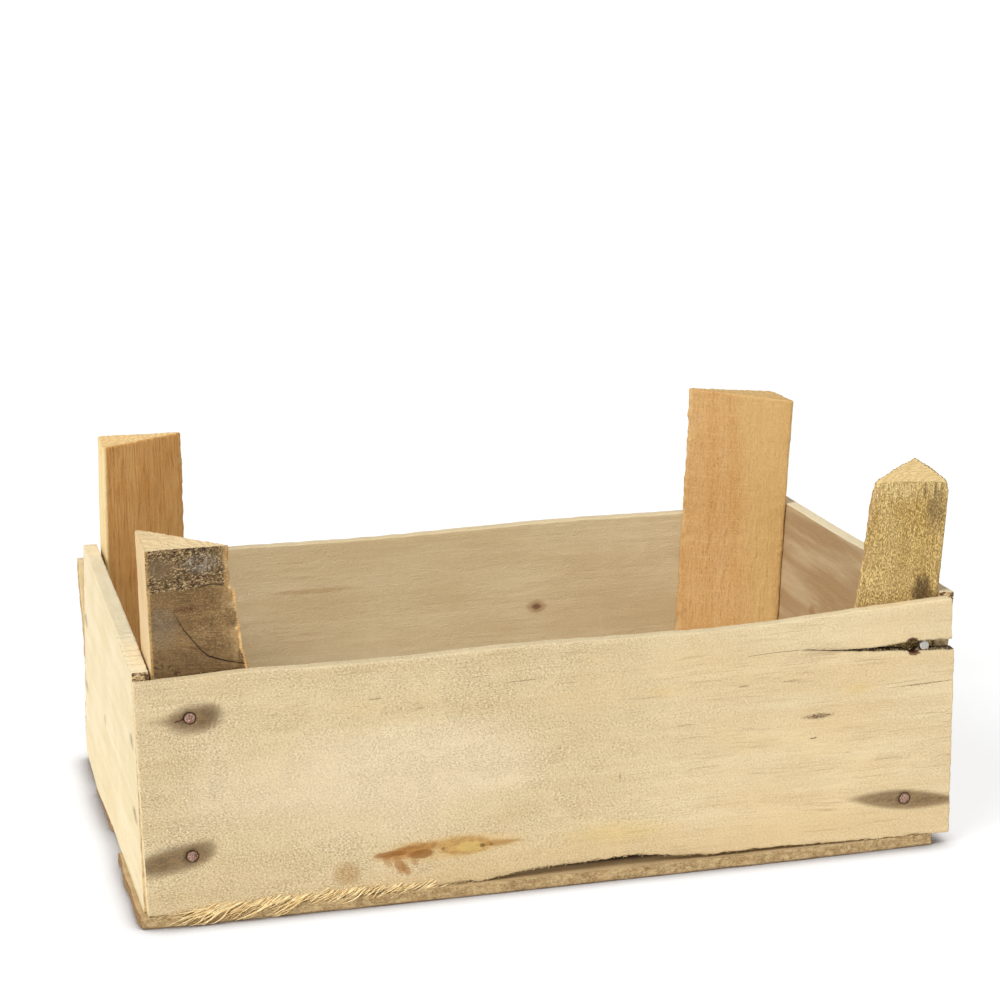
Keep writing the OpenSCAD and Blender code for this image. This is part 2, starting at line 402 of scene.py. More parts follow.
class Value:
    """A shader output that arithmetic combines into further nodes."""

    def __init__(self, graph, socket):
        self.graph, self.socket = graph, socket

    def __add__(self, other):
        return self.graph.math("ADD", self, other)

    def __sub__(self, other):
        return self.graph.math("SUBTRACT", self, other)

    def __rsub__(self, other):
        return self.graph.math("SUBTRACT", other, self)

    def __mul__(self, other):
        return self.graph.math("MULTIPLY", self, other)

    def __truediv__(self, other):
        return self.graph.math("DIVIDE", self, other)

    def __pow__(self, other):
        return self.graph.math("POWER", self, other)

    def __abs__(self):
        return self.graph.math("ABSOLUTE", self)

    def max(self, other):
        return self.graph.math("MAXIMUM", self, other)

    def min(self, other):
        return self.graph.math("MINIMUM", self, other)

    def lin(self, start, end, low=0.0, high=1.0):
        """Clamped straight line from low at start to high at end."""
        node = self.graph.node("ShaderNodeMapRange", self, start, end, low, high)
        return self.graph.out(node)

    def step(self, start, end, low=0.0, high=1.0):
        """Smoothstep from low at start to high at end; start may be the larger."""
        if start > end:
            start, end, low, high = end, start, high, low
        node = self.graph.node("ShaderNodeMapRange", self, start, end, low, high)
        node.interpolation_type = "SMOOTHSTEP"
        return self.graph.out(node)


class Graph:
    """A material under construction: colour and height build up layer by layer.
    Colours are 0..255 display triples; four numbers are a linear colour."""

    def __init__(self, name):
        self.material = bpy.data.materials.new(name)
        self.material.use_nodes = True
        self.tree = self.material.node_tree
        self.tree.nodes.clear()
        output = self.node("ShaderNodeOutputMaterial")
        self.bsdf = self.node("ShaderNodeBsdfPrincipled")
        self.tree.links.new(self.bsdf.outputs[0], output.inputs[0])
        coordinates = self.out(self.node("ShaderNodeTexCoord"), "Object")
        self.point = self.vector_math("MULTIPLY_ADD", coordinates, (1000, 1000, 1000),
                                      tuple(-ORIGIN))
        split = self.node("ShaderNodeSeparateXYZ", self.point)
        self.X, self.Y, self.Z = (self.out(split, k) for k in range(3))
        self.colour = self.height = self.streak = None

    def put(self, socket, value):
        if isinstance(value, Value):
            self.tree.links.new(value.socket, socket)
        elif socket.type == "RGBA" and len(value) == 3:
            socket.default_value = (*srgb(*value), 1.0)
        else:
            socket.default_value = value

    def node(self, kind, *inputs):
        node = self.tree.nodes.new(kind)
        for socket, value in zip(node.inputs, inputs):
            self.put(socket, value)
        return node

    def out(self, node, key=0):
        return Value(self, node.outputs[key])

    def math(self, operation, a, b=0.0):
        node = self.node("ShaderNodeMath", a, b)
        node.operation = operation
        return self.out(node)

    def vector_math(self, operation, *inputs):
        node = self.node("ShaderNodeVectorMath", *inputs)
        node.operation = operation
        return self.out(node)

    def vec(self, x, y, z):
        return self.out(self.node("ShaderNodeCombineXYZ", x, y, z))

    def scaled(self, size):
        """Crate millimetres divided by a feature size on each axis."""
        return self.vector_math("MULTIPLY", self.point, tuple(1 / s for s in size))

    def noise(self, at, detail=2.0, rough=0.5, warp=0.0, shift=None):
        """Noise 0..1; at is a feature size on each axis in millimetres, or coordinates."""
        point = self.scaled(at) if isinstance(at, tuple) else at
        if shift is not None:
            point = self.vector_math("ADD", point, (shift, 0, 0))
        node = self.node("ShaderNodeTexNoise")
        for key, value in (("Vector", point), ("Scale", 1.0), ("Detail", detail),
                           ("Roughness", rough), ("Distortion", warp)):
            self.put(node.inputs[key], value)
        return self.out(node)

    def grain_noise(self, grain, length, width, **look):
        """Noise stretched along the grain axis."""
        size = [width] * 3
        size["xyz".index(grain)] = length
        return self.noise(tuple(size), **look)

    def cells(self, size):
        node = self.node("ShaderNodeTexVoronoi")
        for key, value in (("Vector", self.scaled(size)), ("Scale", 1.0), ("Randomness", 1.0)):
            self.put(node.inputs[key], value)
        return self.out(node)

    def mix(self, factor, a, b):
        node = self.node("ShaderNodeMix")
        node.data_type = "RGBA"
        for index, value in ((0, factor), (6, a), (7, b)):
            self.put(node.inputs[index], value)
        return self.out(node, 2)

    def paint(self, mask, colour):
        self.colour = self.mix(mask, self.colour, colour)

    def cover(self, mask, colour, height):
        """Lay another surface over this one where mask is 1."""
        self.paint(mask, colour)
        self.height = self.mix(mask, self.height, height)

    def attr(self, name):
        node = self.node("ShaderNodeAttribute")
        node.attribute_name = name
        return self.out(node, "Fac")

    def distance(self, u, v, centre_u, centre_v):
        du, dv = u - centre_u, v - centre_v
        return self.math("SQRT", du * du + dv * dv)

    def curve(self, x, x_range, y_range, points, straight=False):
        """A function of x through (x, y) points that lie in the two ranges."""
        (x0, x1), (y0, y1) = x_range, y_range
        node = self.node("ShaderNodeFloatCurve")
        self.put(node.inputs[1], x.lin(x0, x1))
        line = node.mapping.curves[0]
        while len(line.points) < len(points):
            line.points.new(0.5, 0.5)
        for knot, (a, b) in zip(line.points, points):
            knot.location = ((a - x0) / (x1 - x0), (b - y0) / (y1 - y0))
            knot.handle_type = "VECTOR" if straight else "AUTO"
        node.mapping.use_clip = False
        node.mapping.update()
        return self.out(node).lin(0.0, 1.0, low=y0, high=y1)

    def crack(self, points, width, wander, seed):
        """A thin line through (x, z) points that fades at both ends: 1 on the line."""
        xs, zs = zip(*points)
        x0, x1 = min(xs), max(xs)
        line = self.curve(self.X, (x0, x1), (min(zs) - 0.5, max(zs) + 0.5), points, straight=True)
        wobble = self.noise(self.vec(self.X * 0.45, self.Z * 0.45, seed), detail=3, rough=0.6)
        off = abs(self.Z + (wobble - 0.5) * (wander * 2) - line)
        fade = 0.12 * (x1 - x0)
        thin = self.X.step(x0, x0 + fade) * self.X.step(x1, x1 - fade)
        return off.step(width, width * 0.25) * thin

    def lens(self, shape, grain, ragged=0.3, slope=0.0, soft=0.5, fat=False, u=None):
        """A spot with pointed ends, 1 inside. shape is (u, height, reach to the left, reach
        to the right, half height); u runs along X unless given. grain frays its edge."""
        centre_u, centre_z, left, right, half = shape
        du = (u or self.X) - centre_u
        along = (du.min(0.0) / -left).max(du.max(0.0) / right)
        across = abs((self.Z - centre_z - du * slope) / half)
        away = (along.max(0.0001) ** (2.3 if fat else 1.6)
                + across.max(0.0001) ** (2.0 if fat else 1.4))
        away = away + (grain - 0.5) * (ragged * 2)
        return away.step(1.0, 1.0 - soft)

    def spots(self, rows, colour, grain, **look):
        """Paint lenses from rows of (lens shape..., strength)."""
        for *shape, strength in rows:
            self.paint(self.lens(shape, grain, **look) * strength, colour)

    def finish(self, roughness, bump=None, strength=1.0, specular=0.25):
        """Connect the surface; bump is the relief distance in millimetres."""
        self.put(self.bsdf.inputs["Base Color"], self.colour)
        self.put(self.bsdf.inputs["Roughness"], roughness)
        self.bsdf.inputs["Specular IOR Level"].default_value = specular
        if bump is not None:
            node = self.node("ShaderNodeBump")
            node.inputs["Strength"].default_value = strength
            node.inputs["Distance"].default_value = bump / 1000.0
            self.put(node.inputs["Height"], self.height)
            self.tree.links.new(node.outputs[0], self.bsdf.inputs["Normal"])
        return self.material


# ---------------------------------------------------------------- shared wood looks

Wood = namedtuple("Wood", "base light dark line")
STRAW = Wood((211, 188, 146), (222, 203, 164), (190, 162, 116), (134, 96, 60))
CREAM = Wood((222, 204, 163), (233, 218, 184), (204, 180, 134), (146, 108, 70))
WARM = Wood((204, 172, 124), (222, 196, 152), (176, 136, 86), (126, 84, 48))
TAN = Wood((210, 164, 104), (226, 188, 134), (176, 126, 72), (112, 70, 38))
TANNER = Wood((204, 156, 96), (214, 172, 116), (186, 136, 78), (120, 76, 40))
HONEY = Wood((212, 154, 84), (230, 180, 112), (172, 114, 54), (120, 72, 34))
BUTTER = Wood((224, 196, 140), (232, 208, 156), (206, 170, 110), (150, 104, 60))
GOLD = Wood((207, 171, 98), (228, 197, 130), (172, 132, 66), (96, 66, 30))
GREY = Wood((124, 95, 58), (154, 124, 82), (84, 62, 36), (34, 23, 14))
SLAT = Wood((172, 145, 102), (198, 172, 130), (128, 98, 62), (70, 48, 30))


def sawn_wood(g, grain, wood, fuzz=0.5, lines=0.5, bands=0.5):
    """The sawn wood every piece shares: tone bands, fibre streaks, specks and dark pores.
    fuzz, lines and bands are the strengths of the specks, the pores and the long bands."""
    broad = g.grain_noise(grain, 150, 7, detail=3, rough=0.55, warp=0.6)
    streak = g.grain_noise(grain, 34, 0.95, detail=4, rough=0.62, warp=0.25)
    fibre = g.grain_noise(grain, 9, 0.34, detail=3, rough=0.6)
    specks = g.noise((0.75, 0.75, 0.7), detail=3, rough=0.62)
    patch = g.noise((38, 38, 26), detail=3, rough=0.55)
    tone = broad * bands + patch * (1 - bands)
    g.colour = g.mix(tone.step(0.36, 0.66), wood.base, wood.light)
    g.paint(streak.step(0.5, 0.85, high=0.55), wood.dark)
    g.paint(fibre.step(0.55, 0.8) * 0.22, wood.dark)
    g.paint(specks.step(0.52, 0.78) * (fuzz * 0.55), wood.dark)
    g.paint(specks.step(0.46, 0.26) * (fuzz * 0.5), wood.light)
    pore = g.grain_noise(grain, 15, 0.22)
    where = g.grain_noise(grain, 40, 9)
    dash = pore.step(0.69, 0.78) * where.step(0.5, 0.62)
    g.paint(dash * lines, wood.line)
    g.height = streak * 0.5 + (fibre * 0.45 + specks * 0.6) - dash * (0.4 * lines)
    g.streak = streak


def end_grain(g, u, v, centre, light, dark):
    """Sawn end grain: rings about a centre and open pores. Gives colour and height."""
    ring_width = 1.9
    wobble = (g.noise((9, 9, 9), detail=3, rough=0.6) - 0.5) * 5.0
    radius = g.distance(u, v, *centre) + wobble
    rings = g.math("SINE", radius * (2 * math.pi / ring_width))
    pores = g.noise((0.45, 0.45, 0.45), detail=3, rough=0.65)
    saw = g.noise((0.5, 6.0, 3.0))
    colour = g.mix(rings.step(-0.6, 1.0, high=0.5), light, dark)
    colour = g.mix(pores.step(0.54, 0.70, high=0.7), colour, dark)
    colour = g.mix(pores.step(0.66, 0.76, high=0.6), colour, (74, 48, 28))
    return colour, rings * 0.12 + (pores * 0.8 + saw * 0.4)


def nap(g, along, across):
    """Short raised fibres left by the saw, as strokes that lean two ways. Gives 0..1."""
    rising = g.noise(g.vec(along * 1.08 + g.Z * 0.80, across * 0.7,
                           along * -1.62 + g.Z * 2.15), rough=0.62)
    falling = g.noise(g.vec(along * 1.12 + g.Z * -0.30, across * 0.7,
                            along * 0.64 + g.Z * 2.45), rough=0.62)
    choice = g.noise((20, 20, 13), detail=1).step(0.43, 0.57)
    return g.mix(choice, rising, falling)


# ---------------------------------------------------------------- board materials

# Dark checks and pits on the front board: (x, z, half length, half height, strength)
CHECKS = [
    (128, 73.6, 9, 0.24, 0.6), (112, 76.4, 6, 0.20, 0.4), (143, 71.4, 5, 0.2, 0.4),
    (78, 72.0, 3.6, 0.45, 0.55), (71, 70.0, 2.5, 0.2, 0.5), (93, 67.5, 2.2, 0.6, 0.4),
    (44, 69.9, 3.4, 0.16, 0.5), (231.5, 51.2, 6.6, 1.25, 1.0), (230, 43.5, 1.8, 0.45, 0.9),
    (205, 64.3, 3, 0.4, 0.55), (222, 64.6, 5, 0.45, 0.45), (172, 63.5, 7, 0.3, 0.4),
    (270, 59.2, 14, 0.30, 0.7), (262, 60.4, 10, 0.2, 0.4), (233, 56.0, 9, 0.2, 0.3),
    (258, 33.5, 9, 0.2, 0.3), (248, 30.0, 12, 0.18, 0.3), (184, 52.5, 5, 0.3, 0.35),
    (161, 36.5, 0.6, 2.2, 0.5)]

# The spots below are (x, z, reach left, reach right, half height, strength)
RESIN_TINTS = [(246, 60, 9, 9, 3.2, 0.35), (176, 65, 7, 7, 2.6, 0.25),
               (160, 17, 26, 26, 6, 0.35), (118, 30, 30, 30, 8, 0.12)]
HEART_CORES = [(82.0, 17.5, 7.5, 6.0, 1.3, 0.75), (92.3, 16.5, 5.6, 4.6, 1.9, 0.8),
               (88.0, 19.0, 5.0, 5.0, 0.9, 0.4)]
HEART_DRIPS = [(84.4, 13.4, 2.2, 2.2, 3.9, 0.75), (86.6, 11.6, 1.6, 1.6, 2.8, 0.65),
               (80.6, 14.8, 1.8, 1.8, 2.4, 0.5), (89.6, 14.0, 1.4, 1.4, 1.8, 0.5)]
KNOT_EYES = [(112.9, 17.3, 1.1, 1.1, 0.88, 0.75), (115.9, 17.4, 0.8, 0.8, 0.64, 0.6),
             (99.4, 17.6, 0.8, 0.8, 0.64, 0.6)]

# Grey stains at the nails: x, z, reach left, reach right, half height, slope, strength,
# softness, raggedness, blunt ends
IRON_STAINS = [
    (18.8, 70.9, 11.5, 11.0, 6.4, 0.06, 0.84, 0.98, 0.6, True),
    (22.0, 71.6, 6, 6, 4.6, 0.3, 0.48, 0.95, 0.55, True),
    (12.5, 71.0, 13, 8, 2.8, 0.03, 0.42, 1.0, 0.5, False),
    (9.5, 23.4, 16, 16.5, 6.2, 0.16, 0.84, 0.95, 0.55, True),
    (18.0, 25.0, 7.5, 7, 5.0, 0.30, 0.55, 0.95, 0.6, True),
    (3.5, 22.2, 8, 8, 3.4, 0.12, 0.42, 0.9, 0.4, True),
    (262.0, 18.0, 22, 26, 4.4, -0.10, 0.80, 0.55, 0.25, False),
    (266, 17.8, 18, 24, 2.8, -0.09, 0.45, 0.95, 0.3, False)]


def paint_grain_lines(g):
    """Fine lines that slope a little and gather in the upper and right-hand parts."""
    X = g.X
    wavy = g.Z + (g.noise((75, 20, 30)) - 0.5) * 7.0
    fine = g.noise(g.vec(X * (1 / 22), g.Y * 0.2, wavy * (1 / 0.5)), detail=3, rough=0.55)
    where = g.noise(g.vec(X * (1 / 48), 3.0, wavy * (1 / 8.5)))
    region = X.step(110, 200, low=0.06).max(g.Z.step(60, 74, high=0.7))
    lines = fine.step(0.53, 0.68) * where.step(0.42, 0.58) * region
    g.paint(lines * 0.36, (150, 112, 70))
    dash = g.noise(g.vec(X * (1 / 5.0), 11.0, wavy * (1 / 0.42)), detail=3, rough=0.6)
    where = g.noise(g.vec(X * (1 / 19), 23.0, wavy * (1 / 4.0)), detail=1)
    dashes = dash.step(0.62, 0.72) * where.step(0.56, 0.66) * region.max(0.25)
    g.paint(dashes * 0.55, (112, 74, 42))
    return lines + dashes


def paint_heart_streak(g, bits):
    """Amber heartwood low on the left: a ragged spindle, its drips and a ringed knot."""
    rag = g.noise((3.4, 3.4, 0.9), detail=4, rough=0.68)
    curl = g.noise(g.vec(g.X * 0.35, g.Y * 0.3, g.Z * 1.0 + g.X * -0.11), detail=4, rough=0.68)
    g.spots([(97, 17.6, 25, 34, 5.2, 0.50)], (210, 170, 98), rag,
            slope=0.03, ragged=0.45, soft=0.95, fat=True)
    amber = g.mix(curl.step(0.38, 0.62), (192, 140, 68), (160, 106, 44))
    g.spots([(89.5, 18.2, 15.5, 13.0, 3.0, 0.85)], amber, rag,
            slope=0.13, ragged=0.60, soft=0.75)
    g.spots(HEART_CORES, (146, 92, 36), curl, slope=0.03, ragged=0.55, soft=0.7, fat=True)
    for row in HEART_DRIPS:
        g.spots([row], (168, 114, 52), rag, ragged=0.6, soft=0.85, fat=True,
                u=g.X + (g.Z - row[1]) * 0.35)
    ring = g.mix(curl.step(0.40, 0.60), (200, 156, 82), (172, 122, 56))
    g.spots([(106.8, 17.9, 10.5, 10.5, 3.9, 0.72)], ring, rag, ragged=0.40, soft=0.6, fat=True)
    g.spots([(108.6, 17.4, 6.6, 6.4, 2.1, 0.72)], (216, 186, 112), curl,
            ragged=0.35, soft=0.7, fat=True)
    g.spots([(118, 17.7, 9, 12, 1.5, 0.75)], (176, 130, 62), rag,
            slope=0.02, ragged=0.4, soft=0.8)
    g.spots(KNOT_EYES, (104, 68, 32), bits, ragged=0.3, soft=0.8, fat=True)
    smudge = g.lens((66.5, 12.4, 5.6, 6, 5.4), bits, ragged=0.7, soft=0.9, fat=True)
    g.paint(smudge * bits.step(0.36, 0.60, low=0.15, high=0.8), (170, 128, 72))


def paint_iron(g, bits):
    """Grey stains, dark rings and rust round the front board's nails."""
    slanting = g.noise(g.vec((g.X + g.Z) * 0.34, 5.0, (g.Z - g.X * 0.72) * 0.95),
                       detail=4, rough=0.72)
    fray = g.mix(0.45, slanting, g.noise((7, 7, 0.8), detail=3, rough=0.65))
    ink = g.mix(fray.step(0.40, 0.62), (132, 104, 66), (86, 64, 40))
    for *shape, slope, strength, soft, ragged, fat in IRON_STAINS:
        g.spots([(*shape, strength)], ink, fray, slope=slope, ragged=ragged, soft=soft, fat=fat)
    for x, z in FRONT_NAILS[:3]:
        away = g.distance(g.X, g.Z, x, z) + (bits - 0.5) * 0.9
        g.paint(away.step(2.45, 2.0) * 0.85, (72, 44, 28))
    # rust on both lips of the split, by its nail
    for row in ((265.5, 75.2, 2.6, 2.6, 1.25, 0.9), (266.3, 70.5, 2.9, 2.9, 1.15, 0.9)):
        rust = g.mix(bits.step(0.4, 0.6), (126, 66, 30), (60, 32, 18))
        g.spots([row], rust, bits, ragged=0.6, soft=0.6)


def front_board_material():
    g = Graph("pale_board_wood")
    X, Z = g.X, g.Z
    sawn_wood(g, "x", STRAW, fuzz=0.30, lines=0.0, bands=0.55)
    # the saw's nap lies flatter to the right and along the top
    raised = 1.0 - X.step(100, 215, high=0.62).max(Z.step(66, 74) * 0.25)
    fibres = nap(g, X, g.Y)
    g.paint(fibres.step(0.50, 0.64) * 0.85 * raised, (244, 228, 192))
    g.paint(fibres.step(0.50, 0.37) * 0.80 * raised, (172, 140, 92))
    # slow tone drift, warmer along the lower edge
    drift = g.noise((70, 40, 26))
    g.paint(drift.step(0.45, 0.7) * 0.35, (222, 194, 144))
    g.paint(Z.step(20, 5) * 0.18, (200, 168, 116))
    grooves = paint_grain_lines(g)
    bits = g.noise((0.9, 1.3, 0.45), detail=3, rough=0.65)
    fleck = g.noise((0.75, 1.3, 0.34), detail=3, rough=0.7)
    for x, z, reach, half, strength in CHECKS:
        mark = g.lens((x, z, reach, reach, half), bits, slope=0.03, ragged=1.1, soft=0.8)
        mark = mark * fleck.step(0.40, 0.54, low=0.12 if half > 0.4 else 0.6)
        g.paint(mark * strength, (92, 60, 34))
        g.height -= mark * (0.7 * strength)
    # the middle of the left half is a little paler
    g.spots([(90, 45, 92, 52, 26, 0.38)], (250, 234, 200), drift,
            ragged=0.25, soft=1.0, fat=True)
    g.spots(RESIN_TINTS, (216, 186, 112), bits, ragged=0.3, soft=1.0)
    paint_heart_streak(g, bits)
    paint_iron(g, bits)
    # a short check at the upper left nail and a hairline where the split begins
    check = g.crack([(11.6, 70.2), (13.2, 70.6), (15.4, 71.0)], width=0.40, wander=0.1, seed=3.0)
    g.paint(check * 0.9, (84, 44, 26))
    hairline = g.crack([(205, 74.6), (215, 75.2), (226, 75.3)], width=0.16, wander=0.1, seed=5.0)
    g.paint(hairline * 0.7, (92, 62, 38))
    g.paint(g.attr("torn") * 0.5,
            g.mix(bits.step(0.4, 0.65), (234, 212, 166), (190, 156, 104)))
    # painted shade inside the opened split
    g.paint(g.attr("crevice_shade") * 0.9, (58, 38, 22))
    # painted light: the board's top face is lightened as if lit from above
    g.paint(g.attr("top") * 0.5, (230, 212, 172))
    # painted shade: the board's underside is darkened
    g.paint(g.attr("under") * 0.45, (104, 74, 46))
    g.height = g.height * 0.8 + (fibres - 0.5) * 6.0 * raised
    g.height -= grooves * 0.35
    ends = end_grain(g, g.Y, Z, (40, 20), light=(226, 206, 164), dark=(180, 150, 104))
    g.cover(g.attr("endg"), *ends)
    return g.finish(g.streak.lin(0.3, 0.7, low=0.66, high=0.82), bump=0.30, strength=0.7)


def plain_board_material(name, wood, grain, stains, end_centre, knots,
                         fuzz=0.5, lines=0.6, painted_inner_shade=None):
    """A sawn board. stains are lens rows round its nails; each knot is
    (place, height, half length, half height, strength, colour)."""
    g = Graph(name)
    along, across = (g.X, g.Y) if grain == "x" else (g.Y, g.X)
    sawn_wood(g, grain, wood, fuzz=fuzz, lines=lines)
    fibres = nap(g, along, across)
    g.paint(fibres.step(0.50, 0.70) * 0.32, wood.light)
    g.paint(fibres.step(0.49, 0.31) * 0.32, wood.dark)
    g.height += (fibres - 0.5) * 2.6
    if painted_inner_shade:
        # painted shade: the inner face is darkened in clouds, as if shaded inside the crate
        cloud = g.noise((20, 70, 7), detail=3, rough=0.6)
        g.paint(g.attr("inner") * cloud.step(0.30, 0.62, low=0.52, high=0.8), painted_inner_shade)
    rag = g.grain_noise(grain, 6, 0.9, detail=3, rough=0.6)
    for place, height, reach, half, strength, colour in knots:
        g.spots([(place, height, reach, reach, half, strength)], colour, rag,
                ragged=0.4, soft=0.7, u=along)
    fray = g.grain_noise(grain, 6.5, 0.8, detail=4, rough=0.65)
    for row in stains:
        iron = g.mix(fray.step(0.35, 0.7), (112, 92, 66), (86, 68, 48))
        g.spots([row], iron, fray, ragged=0.25, soft=0.8, u=along)
        away = g.distance(along, g.Z, row[0], row[1])
        g.paint(away.step(3.2, 2.1) * 0.7, (62, 40, 26))
    g.paint(g.attr("torn") * 0.5, wood.light)
    # painted crevice shade; these boards give it none
    g.paint(g.attr("crevice_shade") * 0.9, (70, 46, 28))
    ends = g.attr("endg")
    colour, height = end_grain(g, across, g.Z, end_centre, light=wood.dark, dark=wood.line)
    # dark flecks high on the end grain near the front
    fleck = g.noise((1.5, 3, 1.0), detail=3, rough=0.65).step(0.47, 0.56)
    high = ends * g.Y.step(60, 20) * g.Z.step(81.5, 83.5) * fleck
    colour = g.mix(high * 0.9, colour, (66, 40, 20))
    g.cover(ends, colour, height)
    return g.finish(g.streak.lin(0.3, 0.7, low=0.64, high=0.82), bump=0.30, strength=0.6)


def slat_material(name, seed):
    """A rough slat: mottled weathered edges with painted shade along their foot, cleaner faces,
    painted shade by the boards and worn arrises.
    """
    g = Graph(name)
    sawn_wood(g, "x", SLAT, fuzz=0.9, lines=0.8, bands=0.4)
    edge = g.attr("edge")
    spots = g.noise((2.6, 2.2, 1.5), detail=5, rough=0.74, shift=seed)
    crumbs = g.noise((0.7, 0.7, 0.55), detail=3, rough=0.7, shift=seed)
    rust = g.noise((16, 8, 3.0), detail=3, rough=0.6, shift=seed + 5)
    mottle = g.mix(spots.step(0.36, 0.62), (186, 162, 118), (142, 114, 74))
    for mask, colour in ((spots.step(0.58, 0.74, high=0.75), (98, 72, 46)),
                         (crumbs.step(0.54, 0.64, high=0.65), (96, 70, 42)),
                         (crumbs.step(0.44, 0.34, high=0.5), (206, 182, 138)),
                         # painted shade: the slat's edges darken towards where they meet the floor
                         (g.Z.step(0.9, 0.1, high=0.75), (84, 60, 38)),
                         (rust.step(0.55, 0.7, high=0.45), (142, 98, 56))):
        mottle = g.mix(mask, mottle, colour)
    g.paint(edge * 0.85, mottle)
    pits = g.cells((1.4, 1.4, 0.9))
    g.height += pits.step(0.0, 0.45) * (edge * 0.8)
    ends = end_grain(g, g.Y, g.Z, (30 + seed, -12), light=(150, 116, 74), dark=(78, 54, 34))
    g.cover(g.attr("endg"), *ends)
    g.paint(g.attr("worn") * 0.5, SLAT.light)
    # painted shade: the slat's top darkens just inside the front and back boards
    g.paint(g.attr("painted_board_shade") * spots.step(0.2, 0.5, low=0.8), (50, 28, 16))
    return g.finish(g.streak.lin(0.3, 0.7, low=0.68, high=0.86), bump=0.4, strength=0.7)


# ---------------------------------------------------------------- post materials

def post_material(name, faces, cap_centre, cap_colours, weather):
    """A post with its own wood on each face and end grain on top. faces are (wood, fuzz,
    lines, grain) for the crate-length face, the crate-depth face and the inner face."""
    g = Graph(name)
    layers = []
    for wood, fuzz, lines, grain in faces:
        sawn_wood(g, grain, wood, fuzz=fuzz, lines=lines)
        layers.append((g.colour, g.height))
    g.face_x, g.face_y, g.cap = g.attr("face_x"), g.attr("face_y"), g.attr("cap")
    g.colour, g.height = (g.mix(g.face_y, g.mix(g.face_x, inner, on_x), on_y)
                          for on_x, on_y, inner in zip(*layers))
    weather(g)
    g.cover(g.cap, *end_grain(g, g.X, g.Y, cap_centre, *cap_colours))
    chips = g.noise((1.2, 1.2, 3), detail=3, rough=0.6)
    g.paint(g.attr("worn") * 0.75, g.mix(chips.step(0.4, 0.62), (236, 206, 150), (196, 148, 84)))
    return g.finish(g.streak.lin(0.3, 0.7, low=0.66, high=0.84), bump=0.42, strength=0.75)


# Points (x, z) on the front left post's outer face
GREY_TEAR = [(4.0, 111.9), (12.6, 112.8), (20.0, 113.2), (26.5, 114.4), (32.4, 113.1),
             (36.0, 112.3)]
GREY_CRACK = [(13.9, 105.6), (14.6, 104.3), (16.7, 100.0), (22.1, 92.4), (24.8, 89.9),
              (30.0, 88.0), (37.5, 86.1)]
# Broken inner edge of that face: (z, x)
GREY_EDGE = [(84, 37.5), (94.6, 35.6), (108.2, 34.3), (112.0, 34.0), (113.6, 32.4),
             (126, 32.1)]


